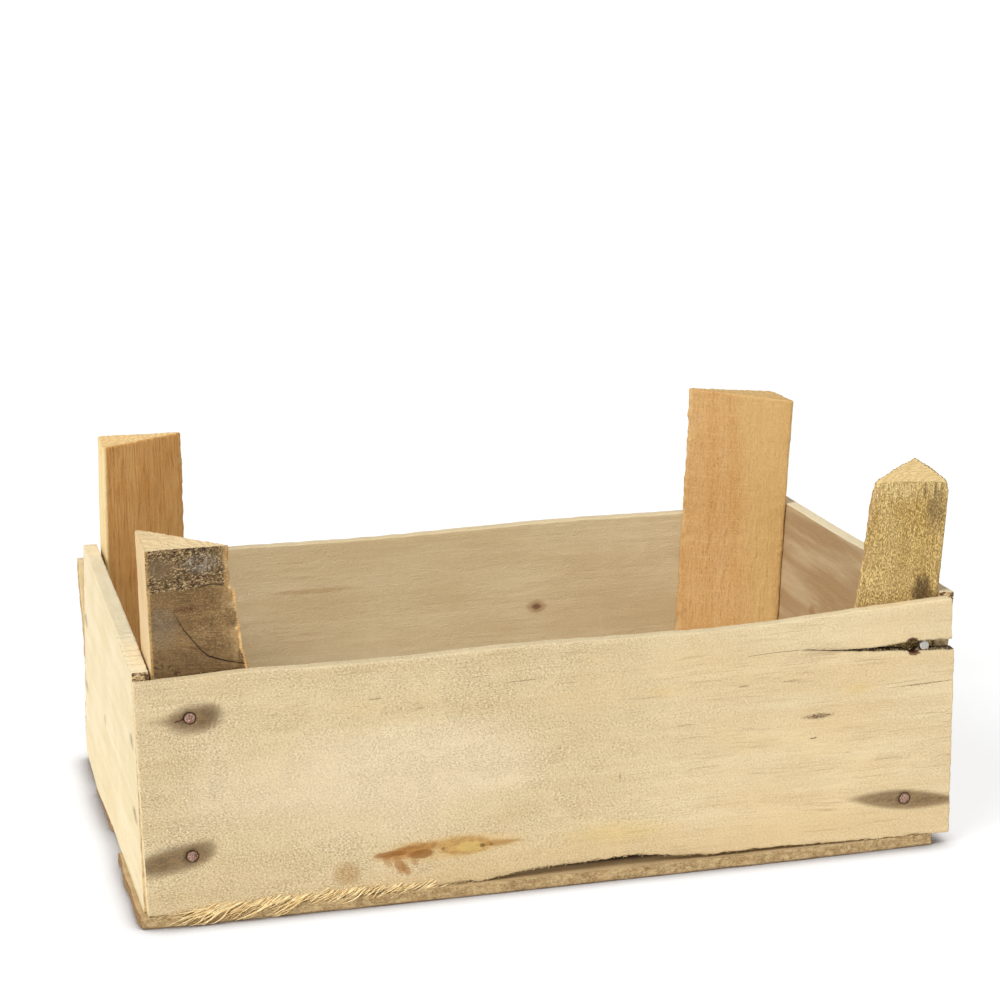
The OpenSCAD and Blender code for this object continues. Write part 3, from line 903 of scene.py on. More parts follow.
def weather_grey_post(g):
    """Weathering, tear-out, a bent crack and a small knot on the outer face."""
    X, Z, face = g.X, g.Z, g.face_x
    # fine lines run nearly level across the face
    level = g.noise(g.vec(X * (1 / 3.2), g.Y * 0.3, Z * (1 / 0.38) + X * 0.14),
                    detail=3, rough=0.68)
    grit = g.noise((0.55, 0.8, 0.40), rough=0.6)
    g.paint(grit.step(0.54, 0.66) * 0.60 * face, (184, 154, 104))
    g.paint(grit.step(0.46, 0.34) * 0.60 * face, (78, 56, 32))
    g.paint(level.step(0.50, 0.70) * 0.55 * face, (72, 54, 34))
    g.paint(level.step(0.46, 0.28) * 0.45 * face, (172, 142, 98))
    g.height += (level - 0.5) * -2.2 * face
    # torn wood above a curved line
    arc = g.curve(X, (4, 36), (105, 120), GREY_TEAR)
    above = (Z - arc).step(-0.6, 0.6) * face
    rough = g.noise(g.vec(X * 1.15 + Z * 0.55, g.Y, X * -0.7 + Z * 1.9), detail=3, rough=0.72)
    calm = g.lens((9.5, 120.5, 5, 7, 4.5), rough, ragged=0.5, soft=0.9, fat=True)
    torn = g.mix(rough.step(0.40, 0.50), (44, 31, 20), (124, 98, 64))
    torn = g.mix(rough.step(0.53, 0.62), torn, (222, 194, 144))
    torn = g.mix(calm * 0.8, torn, (124, 102, 74))
    g.paint(above * 0.85, torn)
    notch = g.noise((0.9, 3, 3.4), detail=3, rough=0.7)
    notch = notch.step(0.53, 0.60) * Z.step(121.5, 124.5) * (X.step(12, 17) * face)
    g.paint(notch * 0.85, (38, 27, 18))
    bloom = g.lens((24, 121.5, 9, 8, 4.6), rough, ragged=0.5, soft=0.9)
    bars = g.noise((0.7, 3, 2.6), detail=3, rough=0.7)
    g.paint(bloom * face * bars.step(0.44, 0.58, low=0.05, high=0.85),
            g.mix(rough.step(0.4, 0.65), (120, 114, 104), (186, 180, 168)))
    g.height += (rough - 0.5) * above * 5.0
    # painted shadow: a dark line just under the tear, where the proud torn part overhangs
    lip = (Z - arc).step(-0.75, -0.25) * (Z - arc).step(0.15, -0.15) * face
    g.paint(lip * X.step(18, 26) * 0.9, (28, 20, 14))
    # darker foot, slate-coloured scuff and bark flecks
    g.paint(Z.step(99, 86) * face * 0.45, (92, 68, 42))
    slate = g.lens((9.5, 101, 5, 7, 9), rough, ragged=0.6, soft=1.0, fat=True)
    scuff = g.noise(g.vec(X * 0.5 + Z * 0.25, 2.0, X * -0.9 + Z * 1.5), detail=3, rough=0.7)
    g.paint(slate * face * scuff.step(0.42, 0.60, low=0.25, high=0.75),
            g.mix(scuff.step(0.5, 0.68), (110, 98, 80), (156, 142, 120)))
    bark = g.noise((1.3, 2, 1.2), detail=4, rough=0.72).step(0.52, 0.62)
    g.paint(bark * (X.step(26, 12) * Z.step(94, 87) * face) * 0.8, (44, 31, 20))
    crack = g.crack(GREY_CRACK, width=0.28, wander=0.12, seed=1.0) * face
    g.paint(crack * 0.95, (22, 13, 8))
    g.height -= crack * 3.5
    specks = g.noise((0.8, 1.2, 0.55), detail=3, rough=0.7)
    knot = g.lens((17.0, 106.4, 4.0, 8.0, 1.6), specks, ragged=0.3, soft=1.0, fat=True)
    g.paint(knot * face * specks.step(0.44, 0.58, low=0.1, high=0.9), (84, 42, 26))
    # the broken inner edge of the face shows fresh orange wood
    edge = g.curve(Z, (84, 126), (26, 42), GREY_EDGE)
    chips = g.noise((2.2, 2.2, 3.4), detail=3, rough=0.65)
    fresh = (X + (chips - 0.5) * 5.0 - edge).step(-1.3, -0.7) * face
    g.paint(fresh * Z.step(118, 112, low=0.35, high=0.9),
            g.mix(rough.step(0.42, 0.58), (204, 146, 76), (240, 202, 146)))
    # the outer corner keeps a yellow arris
    g.paint(X.step(6.9, 6.2) * face * rough.step(0.35, 0.55) * 0.7, (196, 158, 96))


def weather_golden_post(g):
    """Sawn pits, a grey bloom high up and a dark stain low down."""
    Z, face = g.Z, g.face_x
    pit = g.noise((0.34, 0.34, 0.82), rough=0.65)
    hairs = g.noise((0.34, 0.34, 2.6), detail=3, rough=0.65)
    tone = g.noise((6, 6, 9), detail=3, rough=0.6)
    g.paint(tone.step(0.42, 0.66) * 0.22, (184, 142, 72))
    g.paint(hairs.step(0.50, 0.70) * 0.34, (148, 110, 48))
    g.paint(hairs.step(0.48, 0.30) * 0.34, (236, 206, 142))
    g.paint(pit.step(0.54, 0.66) * 0.64, (116, 78, 28))
    g.paint(pit.step(0.45, 0.32) * 0.50, (244, 212, 146))
    # pale fringe along the top
    fringe = g.noise((0.55, 0.55, 9.0), detail=3, rough=0.6)
    fringe = (Z + fringe * 9.0).step(126.5, 131.5) * fringe.step(0.46, 0.56)
    g.paint(fringe * face * 0.8, (243, 215, 153))
    g.height -= pit.step(0.45, 0.66) * 3.2
    g.height -= hairs * 1.2
    rag = g.noise((1.8, 1.8, 5), detail=4, rough=0.7)
    g.spots([(271.5, 127, 1.1, 1.1, 5.5, 0.5), (275.2, 126, 0.8, 0.8, 5.5, 0.6),
             (277.4, 125, 0.8, 0.8, 5.5, 0.5)], (112, 82, 48), rag, ragged=0.4, soft=0.9)
    g.spots([(275.0, 119.5, 4.5, 5.0, 10, 0.55)], (120, 98, 68), rag, ragged=0.6, soft=1.0)
    dark = g.lens((270.8, 90.5, 6.0, 5.0, 8.5), rag, ragged=0.75, soft=0.9)
    g.paint(dark * face * 0.8, (64, 46, 30))
    g.paint(Z.step(96, 86) * pit.step(0.40, 0.58) * face * 0.45, (124, 88, 46))
    # painted light: the inner face is lifted paler against the shade it sits in
    inner = 1.0 - face.max(g.face_y.max(g.cap))
    g.paint(inner * 0.5, (222, 184, 124))


def weather_tan_post(g):
    """Woolly, streaked faces that turn golden to the right."""
    rag = g.noise((0.9, 0.9, 5), detail=4, rough=0.68)
    woolly = g.noise((0.55, 0.55, 0.8), detail=3, rough=0.7)
    level = g.noise((14, 14, 0.8), detail=3, rough=0.6)
    g.paint(rag.step(0.50, 0.66) * 0.25, (176, 122, 64))
    g.paint(woolly.step(0.46, 0.34) * 0.40, (232, 198, 142))
    g.paint(woolly.step(0.54, 0.66) * 0.42, (160, 112, 60))
    g.paint(level.step(0.54, 0.68) * 0.22, (232, 200, 146))
    g.paint(g.X.step(252, 268) * 0.35, (214, 184, 120))
    g.height += (rag - 0.5) * 2.4 + woolly


def weather_honey_post(g):
    """Long streaks on the inner face."""
    rag = g.noise((1.0, 1.0, 14), detail=4, rough=0.65)
    inner = 1.0 - g.face_x.max(g.face_y)
    g.paint(rag.step(0.50, 0.68) * 0.5 * inner, (166, 104, 46))
    g.paint(rag.step(0.46, 0.32) * 0.35 * inner, (240, 196, 130))
    g.height += (rag - 0.5) * 2.2


# ---------------------------------------------------------------- nail and fibre materials

def nail_material():
    g = Graph("rusted_nail_steel")
    rust = g.noise((1.1, 1.1, 1.1), detail=4, rough=0.65)
    fine = g.noise((0.35, 0.35, 0.35), detail=3, rough=0.6)
    g.colour = g.mix(rust.step(0.35, 0.65), (150, 112, 92), (116, 74, 50))
    # painted highlights: pale specks standing in for glints on the steel
    g.paint(fine.step(0.50, 0.62, high=0.9), (216, 194, 180))
    g.paint(g.noise((2.0, 2.0, 2.0)).step(0.58, 0.7, high=0.7), (60, 34, 22))
    g.paint(g.attr("rim").step(0.86, 1.0) * 0.7, (58, 34, 24))
    g.paint(g.attr("bright") * 0.85,
            g.mix(fine.step(0.45, 0.7), (196, 196, 192), (140, 138, 132)))
    g.put(g.bsdf.inputs["Metallic"], rust.lin(0.3, 0.7, low=0.65, high=0.25))
    g.height = rust * 1.0 + fine
    return g.finish(rust.lin(0.3, 0.7, low=0.42, high=0.72), bump=0.12, strength=0.6,
                    specular=0.5)


def fibre_material():
    g = Graph("torn_wood_fibre")
    tone = g.noise((2.2, 2.2, 1.2), detail=3, rough=0.6)
    g.colour = g.mix(tone.step(0.38, 0.64), (238, 216, 166), (216, 186, 130))
    g.paint(g.noise((9, 9, 4)).step(0.6, 0.74, high=0.4), (184, 144, 90))
    g.height = g.grain_noise("x", 3, 0.12)
    return g.finish(0.7, bump=0.08, strength=0.5)


# ---------------------------------------------------------------- boards

def dents(nails, u, v):
    """Depth of the dents that driven nail heads leave, each with a small raised lip."""
    depth, floor_radius, rim_radius, lip = 0.8, 2.0, 3.3, 0.10
    total = 0.0
    for nail_u, nail_v in nails:
        away = np.hypot(u - nail_u, v - nail_v)
        total = total + (depth * smooth(away, rim_radius, floor_radius)
                         - lip * np.exp(-((away - rim_radius) / 0.7) ** 2))
    return total


def board_relief(points, seed, fuzz, warp):
    """Relief of a sawn face: slow warp, grain ridges and torn nap, in millimetres."""
    x, y, z = points.T
    relief = warp * noise(x / 95, y / 40, z / 55, seed)
    relief = relief + 0.075 * fuzz * fbm(x / 16, y / 2, z / 1.5, 3, seed + 3)
    return relief + 0.055 * fuzz * noise(x / 3.1, y / 2, z / 1.25, seed + 9)


# Front board edges: (x, z)
front_top = curve([
    (0, 83.8), (23, 84.7), (37, 85.2), (58, 84.6), (85, 84.4), (120, 85.4), (150, 85.3),
    (177, 84.9), (194, 84.6), (214, 85.2), (228, 86.0), (247, 87.2), (262, 87.9),
    (270, 88.4), (280, 88.7)], soft=6)
front_low = curve([
    (0, 4.5), (10, 4.25), (72, 4.2), (94, 4.2), (102, 4.6), (108.5, 4.9), (110.2, 4.5),
    (113, 4.4), (117, 5.1), (125, 6.5), (140, 7.2), (158, 7.9), (167, 8.1), (175, 7.2),
    (183, 6.0), (194, 5.3), (205, 5.6), (216, 5.7), (232, 5.0), (250, 4.6), (266, 4.3),
    (280, 4.2)], soft=1.2)
# The split at its right: middle line (x, z), then each lip's distance from it (x, distance)
split_middle = curve([
    (0, 71.5), (60, 73.0), (150, 74.6), (205, 75.6), (225, 75.3), (236, 74.1),
    (250, 73.2), (264, 73.1), (280, 72.5)], soft=4)
split_above = curve([
    (224.8, 0.0), (230, 0.06), (238, 0.16), (247, 0.42), (255, 0.85), (262, 1.5),
    (268, 1.8), (280, 1.95)], soft=1)
split_below = curve([
    (224.8, 0.0), (230, 0.06), (238, 0.18), (250, 0.55), (258, 0.95), (264, 1.45),
    (272, 1.7), (280, 1.85)], soft=1)


def left_end(z):
    """The out-of-square left end of the front board."""
    return np.interp(z, [0, 40, 80], [0.1, -0.5, -1.0])


def front_board():
    width = 80.0
    xs = stations(LENGTH, 1.2, [(16.3, 5.0, 0.55), (263.5, 5.0, 0.55), (268.0, 5.0, 0.55)])
    zs = stations(width, 0.57)
    slit_row = int(np.argmin(abs(zs - 68.6)))
    slit_start = int(np.argmin(abs(xs - 225.0)))
    plank = Plank(xs, zs, BOARD_LAYERS, (slit_start, slit_row))
    p, normals = plank.rounded(0.45)
    x = plank.x
    slit_z = zs[slit_row]

    # fit the lattice between the lower edge, the split and the upper edge
    low, top = front_low(x), front_top(x)
    low = low + 0.28 * fbm(x / 2.6, 0, 0, 3, 5) * smooth(x, 60, 110) + 0.12 * noise(x / 1.1, 0, 0, 6)
    top = top + 0.12 * fbm(x / 5, 0, 0, 3, 7)
    middle = split_middle(x)
    opened = x > xs[slit_start] + 1e-6
    jag = 0.16 * fbm(x / 1.7, plank.y / 2.2, 0, 3, 11) * smooth(x, 226, 236)
    nail_notch = 1.25 * np.sqrt(np.clip(1 - ((x - 265.8) / 2.0) ** 2, 0, 1))
    lip_above = middle + np.where(opened, split_above(x) + jag + nail_notch * 0.55, 0)
    lip_below = middle - np.where(opened, split_below(x) - jag * 0.8 + nail_notch * 0.75, 0)
    upper = (plank.row > slit_row) | plank.upper_lip
    z = np.where(upper,
                 lip_above + (p[:, 2] - slit_z) / (width - slit_z) * (top - lip_above),
                 low + p[:, 2] / slit_z * (lip_below - low))
    closed = (plank.row == slit_row) & ~plank.upper_lip & (plank.station <= slit_start)
    z = np.where(closed, middle, z)
    p[:, 2] = z

    # out-of-square left end, small wobble at the right end
    left = left_end(plank.z) + 0.18 * fbm(0, plank.y / 2, z / 3, 3, 21)
    right = 0.22 * fbm(1, plank.y / 2, z / 3, 3, 22) + np.where(upper, 0.0, 1.0 * smooth(z, 0, 66))
    p[:, 0] += left * smooth(x, 16, 0) + right * smooth(x, LENGTH - 12, LENGTH)
    relief = board_relief(p, seed=31, fuzz=1.0, warp=0.18)
    face = normals[:, 1] < -0.5
    dent = dents(FRONT_NAILS[:3], p[:, 0], p[:, 2])
    # a pressed mark that leads to the upper left nail
    dent = dent + (0.22 * smooth(abs(p[:, 2] - 70.9), 0.9, 0.1)
                   * smooth(p[:, 0], 8.5, 13) * smooth(p[:, 0], 16, 15))
    relief = relief - np.where(face, dent, 0)
    # torn nap near the lower left edge and feathered lower edge
    tear = smooth(p[:, 2], 15, 5) * smooth(x, 8, 22) * smooth(x, 118, 98)
    torn_nap = tear * 0.22 * fbm(x / 4.5 + z / 4, 0, z / 1.1 - x / 9, 3, 41)
    relief = relief + np.where(face, torn_nap, 0)
    feather = smooth(p[:, 2] - low, 1.5, 0.0) * (
        0.08 + 0.22 * smooth(noise(x / 7, 3, 0, 43), -0.2, 0.7))
    relief = relief - np.where(face, feather, 0)
    # the upper lip of the split lifts a little towards the end
    lift = smooth(x, 240, LENGTH) * np.exp(-abs(p[:, 2] - middle) / 6.0)
    relief = relief + np.where(face & upper, 0.25 * lift, 0)
    p += normals * relief[:, None]

    # ragged underside
    under = plank.bottom
    p[:, 2] += np.where(under, 0.35 * fbm(x / 1.6, plank.y / 0.9, 0, 3, 51), 0)
    lip = under & plank.outer & (x < 78)
    p[:, 2] -= np.where(lip, 0.9 * smooth(x, 78, 60) * (0.6 + 0.4 * noise(x / 2.5, 0, 0, 52)), 0)
    p[:, 1] = np.where(lip, np.minimum(p[:, 1], 0.25), p[:, 1])

    frayed = smooth(fbm(x / 6 + z / 3, 0, z / 1.2, 2, 44), -0.1, 0.5)
    torn = np.clip(smooth(z - low, 0.9, 0.1) * 0.6 + tear * 0.35 * frayed, 0, 1)
    slit = (plank.row == slit_row) & opened
    slit_shade = np.where(plank.outer | plank.inner, 0.35, smooth(x, 226, 232))
    add_mesh("front_board_wood", p, plank.faces, front_board_material(),
             "front_board",
             {"torn": torn, "crevice_shade": np.where(slit, slit_shade, 0), "top": plank.top,
              "endg": plank.ends, "under": under & ~plank.outer & (x > 75)})


END_BOARD_W = 82.0


def left_bow(y, z):
    """How far the left end board stands outwards of its plane (negative is inwards)."""
    t = np.clip((z - BASE_Z) / END_BOARD_W, 0, 1)
    top = np.interp(y, [0, 185], [0.8, -0.8])
    low = np.interp(y, [0, 20, 58, 91, 132, 185], [0.7, 0.9, 1.5, 1.8, 3.0, 2.4])
    return low * (1 - t) + top * t


def end_board(side, material, width, nails, seed):
    """An end board. Plank x runs along the crate's depth, plank y inwards from the outer
    face. width gives the board's width at each crate y."""
    right = side == "right"
    rows = [u - SIDE_T if right else DEPTH - SIDE_T - u for u in (nails[0][0], nails[2][0])]
    plank = Plank(stations(DEPTH - 2 * SIDE_T - 2 * GAP, 1.15, [(row, 4, 0.55) for row in rows]),
                  stations(END_BOARD_W, 0.7),
                  np.array([0, 0.3, 0.9, 2.7, 4.6, 5.2, END_T]))
    p, normals = plank.rounded(0.4)
    crate_y = FRONT_Y + plank.x if right else BACK_Y - plank.x
    p[:, 2] = p[:, 2] / END_BOARD_W * width(crate_y)
    relief = board_relief(p, seed=seed, fuzz=1.15, warp=0.2)
    dent = dents(nails, crate_y, p[:, 2] + BASE_Z)
    p += normals * (relief - np.where(normals[:, 1] < -0.5, dent, 0))[:, None]
    if right:
        placed = lean(np.stack([-p[:, 1] + twist(SIDE_T + p[:, 0], p[:, 2]),
                                FRONT_Y + p[:, 0], p[:, 2]], 1))
    else:
        placed = np.stack([p[:, 1], BACK_Y - p[:, 0], p[:, 2] + BASE_Z], 1)
        bow = left_bow(placed[:, 1], placed[:, 2])
        placed[:, 0] -= bow * np.interp(plank.y, [0, END_T], [1, 0.85])
        # saw steps across the top edge near the front corner
        y = placed[:, 1]
        steps = 0.45 * np.sign(np.sin(y * 1.15 + 0.8 * np.sin(y * 0.31))) * smooth(y, 62, 40)
        placed[:, 2] += np.where(plank.top & (y < 62), steps, 0)
        placed[:, 2] += np.where(plank.top, 0.3 * fbm(y / 3, plank.y / 2, 0, 3, seed + 7), 0)
    torn = plank.top | plank.bottom
    node = side + "_end_board"
    add_mesh(node + "_wood", placed, plank.faces, material, node,
             {"torn": torn, "crevice_shade": torn * 0, "endg": plank.ends, "inner": normals[:, 1] > 0.5})


def left_end_board():
    material = plain_board_material(
        "left_end_board_sawn_wood", CREAM, "y",
        stains=[(16, 60, 10, 10, 3.0, 0.35), (17, 34, 10, 10, 3.0, 0.35),
                (173, 58, 10, 8, 3.0, 0.4), (172.5, 32, 9, 8, 3.0, 0.4)],
        end_centre=(60, 20), lines=0.45, knots=[(104, 40, 4.2, 2.6, 0.4, (178, 124, 72))])
    end_board("left", material, lambda y: END_BOARD_W + 0.35 * np.sin(y / 31.0),
              LEFT_NAILS, seed=131)


def right_end_board():
    material = plain_board_material(
        "right_end_board_sawn_wood", CREAM, "y",
        stains=[(16, 66, 9, 9, 3.0, 0.45), (17, 40, 9, 9, 3.0, 0.45),
                (168, 60, 9, 9, 3.0, 0.45), (169, 36, 9, 9, 3.0, 0.45)],
        end_centre=(230, 20), fuzz=0.6, painted_inner_shade=(150, 112, 68),
        knots=[(120, 52, 5.0, 3.2, 0.5, (150, 98, 54))])
    end_board("right", material,
              lambda y: np.interp(y, [5, 180], [85.5, 81.0]) + 0.4 * np.sin(y / 27.0 + 1.0),
              RIGHT_NAILS, seed=141)


def back_board():
    """The back board. Plank x runs from the crate's right end and overhangs on the left."""
    overhang, width = 1.5, 75.3
    length = LENGTH + overhang
    dense = [(length - overhang - x, 4, 0.6) for x in (12, 260)]
    plank = Plank(stations(length, 1.3, dense), stations(width, 0.7), BOARD_LAYERS)
    p, normals = plank.rounded(0.4)
    crate_x = LENGTH - plank.x
    top = (79.5 + 0.5 * np.sin(np.radians(360 * crate_x / 170 + 40))
           + 0.2 * fbm(crate_x / 6, 0, 0, 3, 71))
    p[:, 2] = BASE_Z + p[:, 2] / width * (top - BASE_Z)
    relief = board_relief(p, seed=73, fuzz=1.2, warp=0.3)
    dent = dents(BACK_NAILS, crate_x, p[:, 2])
    p += normals * (relief - np.where(normals[:, 1] < -0.5, dent, 0))[:, None]
    placed = np.stack([LENGTH - p[:, 0], DEPTH - p[:, 1], p[:, 2]], 1)
    # the left end was cut hollow
    hollow = (0.9 * np.sin(np.pi * np.clip((p[:, 2] - 12) / 60, 0, 1))
              + 0.25 * fbm(0, plank.y / 2, p[:, 2] / 3, 3, 75))
    placed[:, 0] += smooth(plank.x, length - 10, length) * hollow
    torn = plank.top | plank.bottom
    material = plain_board_material(
        "back_board_sawn_wood", STRAW, "x",
        stains=[(x, z, 12 + 3 * k % 5, 13, 3.6, 0.62) for k, (x, z) in enumerate(BACK_NAILS)],
        end_centre=(40, 20), lines=0.7,
        knots=[(178, 46, 5.5, 3.4, 0.55, (150, 98, 50)), (178, 46, 2.6, 1.7, 0.7, (96, 56, 30)),
               (88, 60, 22, 1.4, 0.35, (170, 120, 66))])
    add_mesh("back_board_wood", placed, plank.faces, material, "back_board",
             {"torn": torn, "crevice_shade": torn * 0, "endg": plank.ends})


def slat(node, x0, x1, y0, width, seed, chew, bow=0.0):
    """A bottom slat from x0 to x1. Plank y runs up from the underside, plank z across it.
    chew is the unevenness of its ends, bow the bulge of its front edge."""
    length = x1 - x0
    plank = Plank(stations(length, 1.25), stations(width, 1.0),
                  np.array([0, 0.25, 0.7, 1.4, 2.1, 2.8, 3.5, 3.95, SLAT_T]))
    p, normals = plank.rounded(0.35)
    along = plank.x
    relief = board_relief(p, seed=seed, fuzz=1.3, warp=0.0)
    edge_relief = (0.30 * fbm(along / 5, plank.y / 1.1, 0, 4, seed + 2)
                   + 0.35 * noise(along / 60, 0, 0, seed + 3))
    relief = np.where(abs(normals[:, 2]) > 0.4, edge_relief, relief)
    relief = np.where(normals[:, 1] < -0.3, np.minimum(relief, 0.02), relief)
    own_nails = [nail for nail in SLAT_NAILS if y0 < nail[1] < y0 + width]
    dent = dents(own_nails, x1 - along, y0 + plank.z)
    relief = relief - np.where(normals[:, 1] < -0.5, dent, 0)
    up = normals[:, 1] > 0.5
    relief = np.where(up, np.minimum(relief, 0.0), relief)
    p += normals * relief[:, None]
    cut = (0.28 * fbm(0.0, plank.y / 1.2, plank.z / 5.5, 3, seed + 5)
           + chew * noise(3.0, 0, plank.z / 14, seed + 6))
    x = x1 - p[:, 0] - smooth(along, 10, 0) * cut + smooth(along, length - 10, length) * cut
    bulge = bow * np.sin(np.pi * np.clip(along / length, 0, 1)) ** 0.7 * smooth(p[:, 2], 22, 4)
    placed = np.stack([x, y0 + p[:, 2] - bulge, np.maximum(p[:, 1], 0.0)], 1)
    # chewed front left corner
    corner = np.exp(-(((placed[:, 0] - x0) / 5.0) ** 2 + ((placed[:, 1] - y0) / 4.0) ** 2))
    placed[:, 0] += corner * (
        0.6 + 0.45 * noise(0, placed[:, 1] / 3.5, placed[:, 2] / 1.6, seed + 8))
    placed[:, 1] += corner * 0.6
    # painted shade on top just inside the front and back boards, where they shade the slat
    near = np.minimum(placed[:, 1], DEPTH - placed[:, 1])
    painted_board_shade = np.where(up, smooth(near, 5.0, 8.5) * smooth(near, 24, 12), 0.0)
    painted_board_shade = (painted_board_shade * smooth(placed[:, 0], 1.0, 6.0)
             * smooth(placed[:, 0], LENGTH - 6.0, LENGTH - 14.0))
    by_edge = (plank.row <= 1) | (plank.row >= plank.row.max() - 1)
    by_face = (plank.layer <= 1) | (plank.layer >= plank.layer.max() - 1)
    worn = (np.where(by_edge & by_face, 0.8, 0.0)
            * smooth(noise(along / 4, 0, 0, seed + 11), -0.1, 0.6))
    name = node + "_wood"
    add_mesh(name, placed, plank.faces, slat_material(name + "_mottled", float(seed % 17)),
             node,
             {"edge": plank.bottom | plank.top, "endg": plank.ends, "worn": worn, "painted_board_shade": painted_board_shade})


# ---------------------------------------------------------------- posts

def post(node, legs, height, place, flip, material, seed, narrow=None, rough=1.0,
         tear=None, top_tilt=(0, 0), blunt=0.0):
    """A three-cornered post in its corner's frame: x and y run inwards along two boards.
    narrow gives the x leg at each height, tear adds relief to the face along x, top_tilt
    lifts the top along each leg and blunt wears its two outer corners round."""
    leg_x, leg_y = legs
    flat = 1.2
    outline = [(0, 0), (leg_x, 0), (leg_x, flat), (flat, leg_y), (0, leg_y)]
    base, normals, side, faces = prism(outline, height)
    x, y, z = base.T
    on_x = side == 0
    on_y = (side == 4) | (side == 3)
    slant = (side == 2) | (side == 1)
    cap = side == 5
    wall = ~cap
    shrink = narrow(z) / leg_x if narrow else np.ones(len(x))
    x = x * shrink
    # both acute edges are broken and fuzzy
    acute = np.exp(-np.hypot(x - leg_x * shrink, y) / 2.2) * wall
    x = x + acute * (0.5 * fbm(0, 0, z / 3.2, 3, seed + 1) - 0.25
                     + 0.175 * np.sign(noise(0, 0, z / 5.5, seed + 2)))
    other_acute = np.exp(-np.hypot(x, y - leg_y) / 2.2) * wall
    y = y + other_acute * (0.5 * fbm(0, 0, z / 4.2, 3, seed + 4) - 0.25)
    relief = (0.10 * rough * fbm(x / 1.0 + 3, y / 1.0, z / 9, 3, seed + 5)
              + 0.16 * rough * noise(x / 9, y / 9, z / 30, seed + 6))
    relief = relief + 0.05 * rough * noise(x / 0.9, y / 0.9, z / 1.6, seed + 7)
    relief = np.where(slant, relief * 1.3 + 0.10 * fbm(x / 1.4, y / 1.4, z / 24, 3, seed + 8),
                      relief)
    # the lower parts lie against the boards
    relief = np.where((on_x | on_y) & (z < 84), np.minimum(relief, 0.02), relief)
    if tear is not None:
        relief = relief + np.where(on_x, tear(x, z), 0)
    cap_relief = (0.22 * fbm(x / 1.3, y / 2.6, 0, 4, seed + 9)
                  + 0.16 * np.sin(y * 2.1 + 2 * noise(x / 9, y / 9, 0, seed + 10)))
    relief = np.where(cap & (z > height / 2), cap_relief, np.where(cap, 0.1 * cap_relief, relief))
    p = np.stack([x, y, z], 1) + normals * relief[:, None]
    near_top = smooth(p[:, 2], height - 6, height)
    p[:, 2] += near_top * (top_tilt[0] * (p[:, 0] / leg_x) + top_tilt[1] * (p[:, 1] / leg_y))
    if blunt:
        top_corner = smooth(z, height - 3.6, height - 0.2)
        for corner_x, shift in ((0.0, 0.55), (leg_x * shrink, -0.75)):
            near = np.exp(-(np.hypot(x - corner_x, y) / 2.6) ** 2) * top_corner
            p[:, 2] -= blunt * near
            p[:, 0] += shift * blunt * near
    rim = near_top * wall * smooth(p[:, 2], height - 1.2, height)
    p[:, 2] += rim * 0.3 * fbm(x / 0.9, y / 0.9, 0, 2, seed + 14)
    if flip:
        faces = [group[:, ::-1] for group in faces]
    worn = np.clip(acute * 1.3 * smooth(noise(x / 3, y / 3, z / 7, seed + 13), -0.5, 0.3), 0, 1)
    add_mesh(node + "_wood", place(p), faces, material, node,
             {"face_x": on_x, "face_y": on_y, "cap": cap, "worn": worn})


BACK_LEFT_LEG = 32.0


def place_front_left(p):
    return np.stack([END_T + GAP + p[:, 0] + 0.012 * p[:, 1], FRONT_Y + p[:, 1],
                     BASE_Z + p[:, 2]], 1)


def place_right(p, y):
    return lean(np.stack([-END_T - GAP - p[:, 0] + twist(y, p[:, 2]), y, p[:, 2]], 1))


def place_back_left(p):
    angle = math.radians(1.3)
    cos, sin = math.cos(angle), math.sin(angle)
    return np.stack([END_T + GAP + p[:, 0] * cos + p[:, 2] * sin, BACK_Y - p[:, 1],
                     BASE_Z + BACK_LEFT_LEG * sin - p[:, 0] * sin + p[:, 2] * cos], 1)


def front_left_tear(x, z):
    """The upper part stands proud of a curved tear line; a bent groove runs below it."""
    line = np.interp(x, [0, 7.1, 14.5, 21.0, 26.9, 32], [107.7, 108.6, 109.0, 110.2, 108.9, 108.1])
    above = smooth(z - line, -0.3, 0.4)
    tear = above * (0.22 + 0.30 * fbm(x / 1.6, 0, z / 2.4, 4, 91)) - (1 - above) * 0.12
    groove_z = np.interp(x, [8.4, 9.1, 11.2, 16.6, 19.3, 24.5, 32.0],
                         [101.4, 100.1, 95.8, 88.2, 85.7, 83.8, 81.9])
    return tear - 0.6 * smooth(abs(z - groove_z), 0.6, 0.0) * (x > 8.4) * (x < 33)


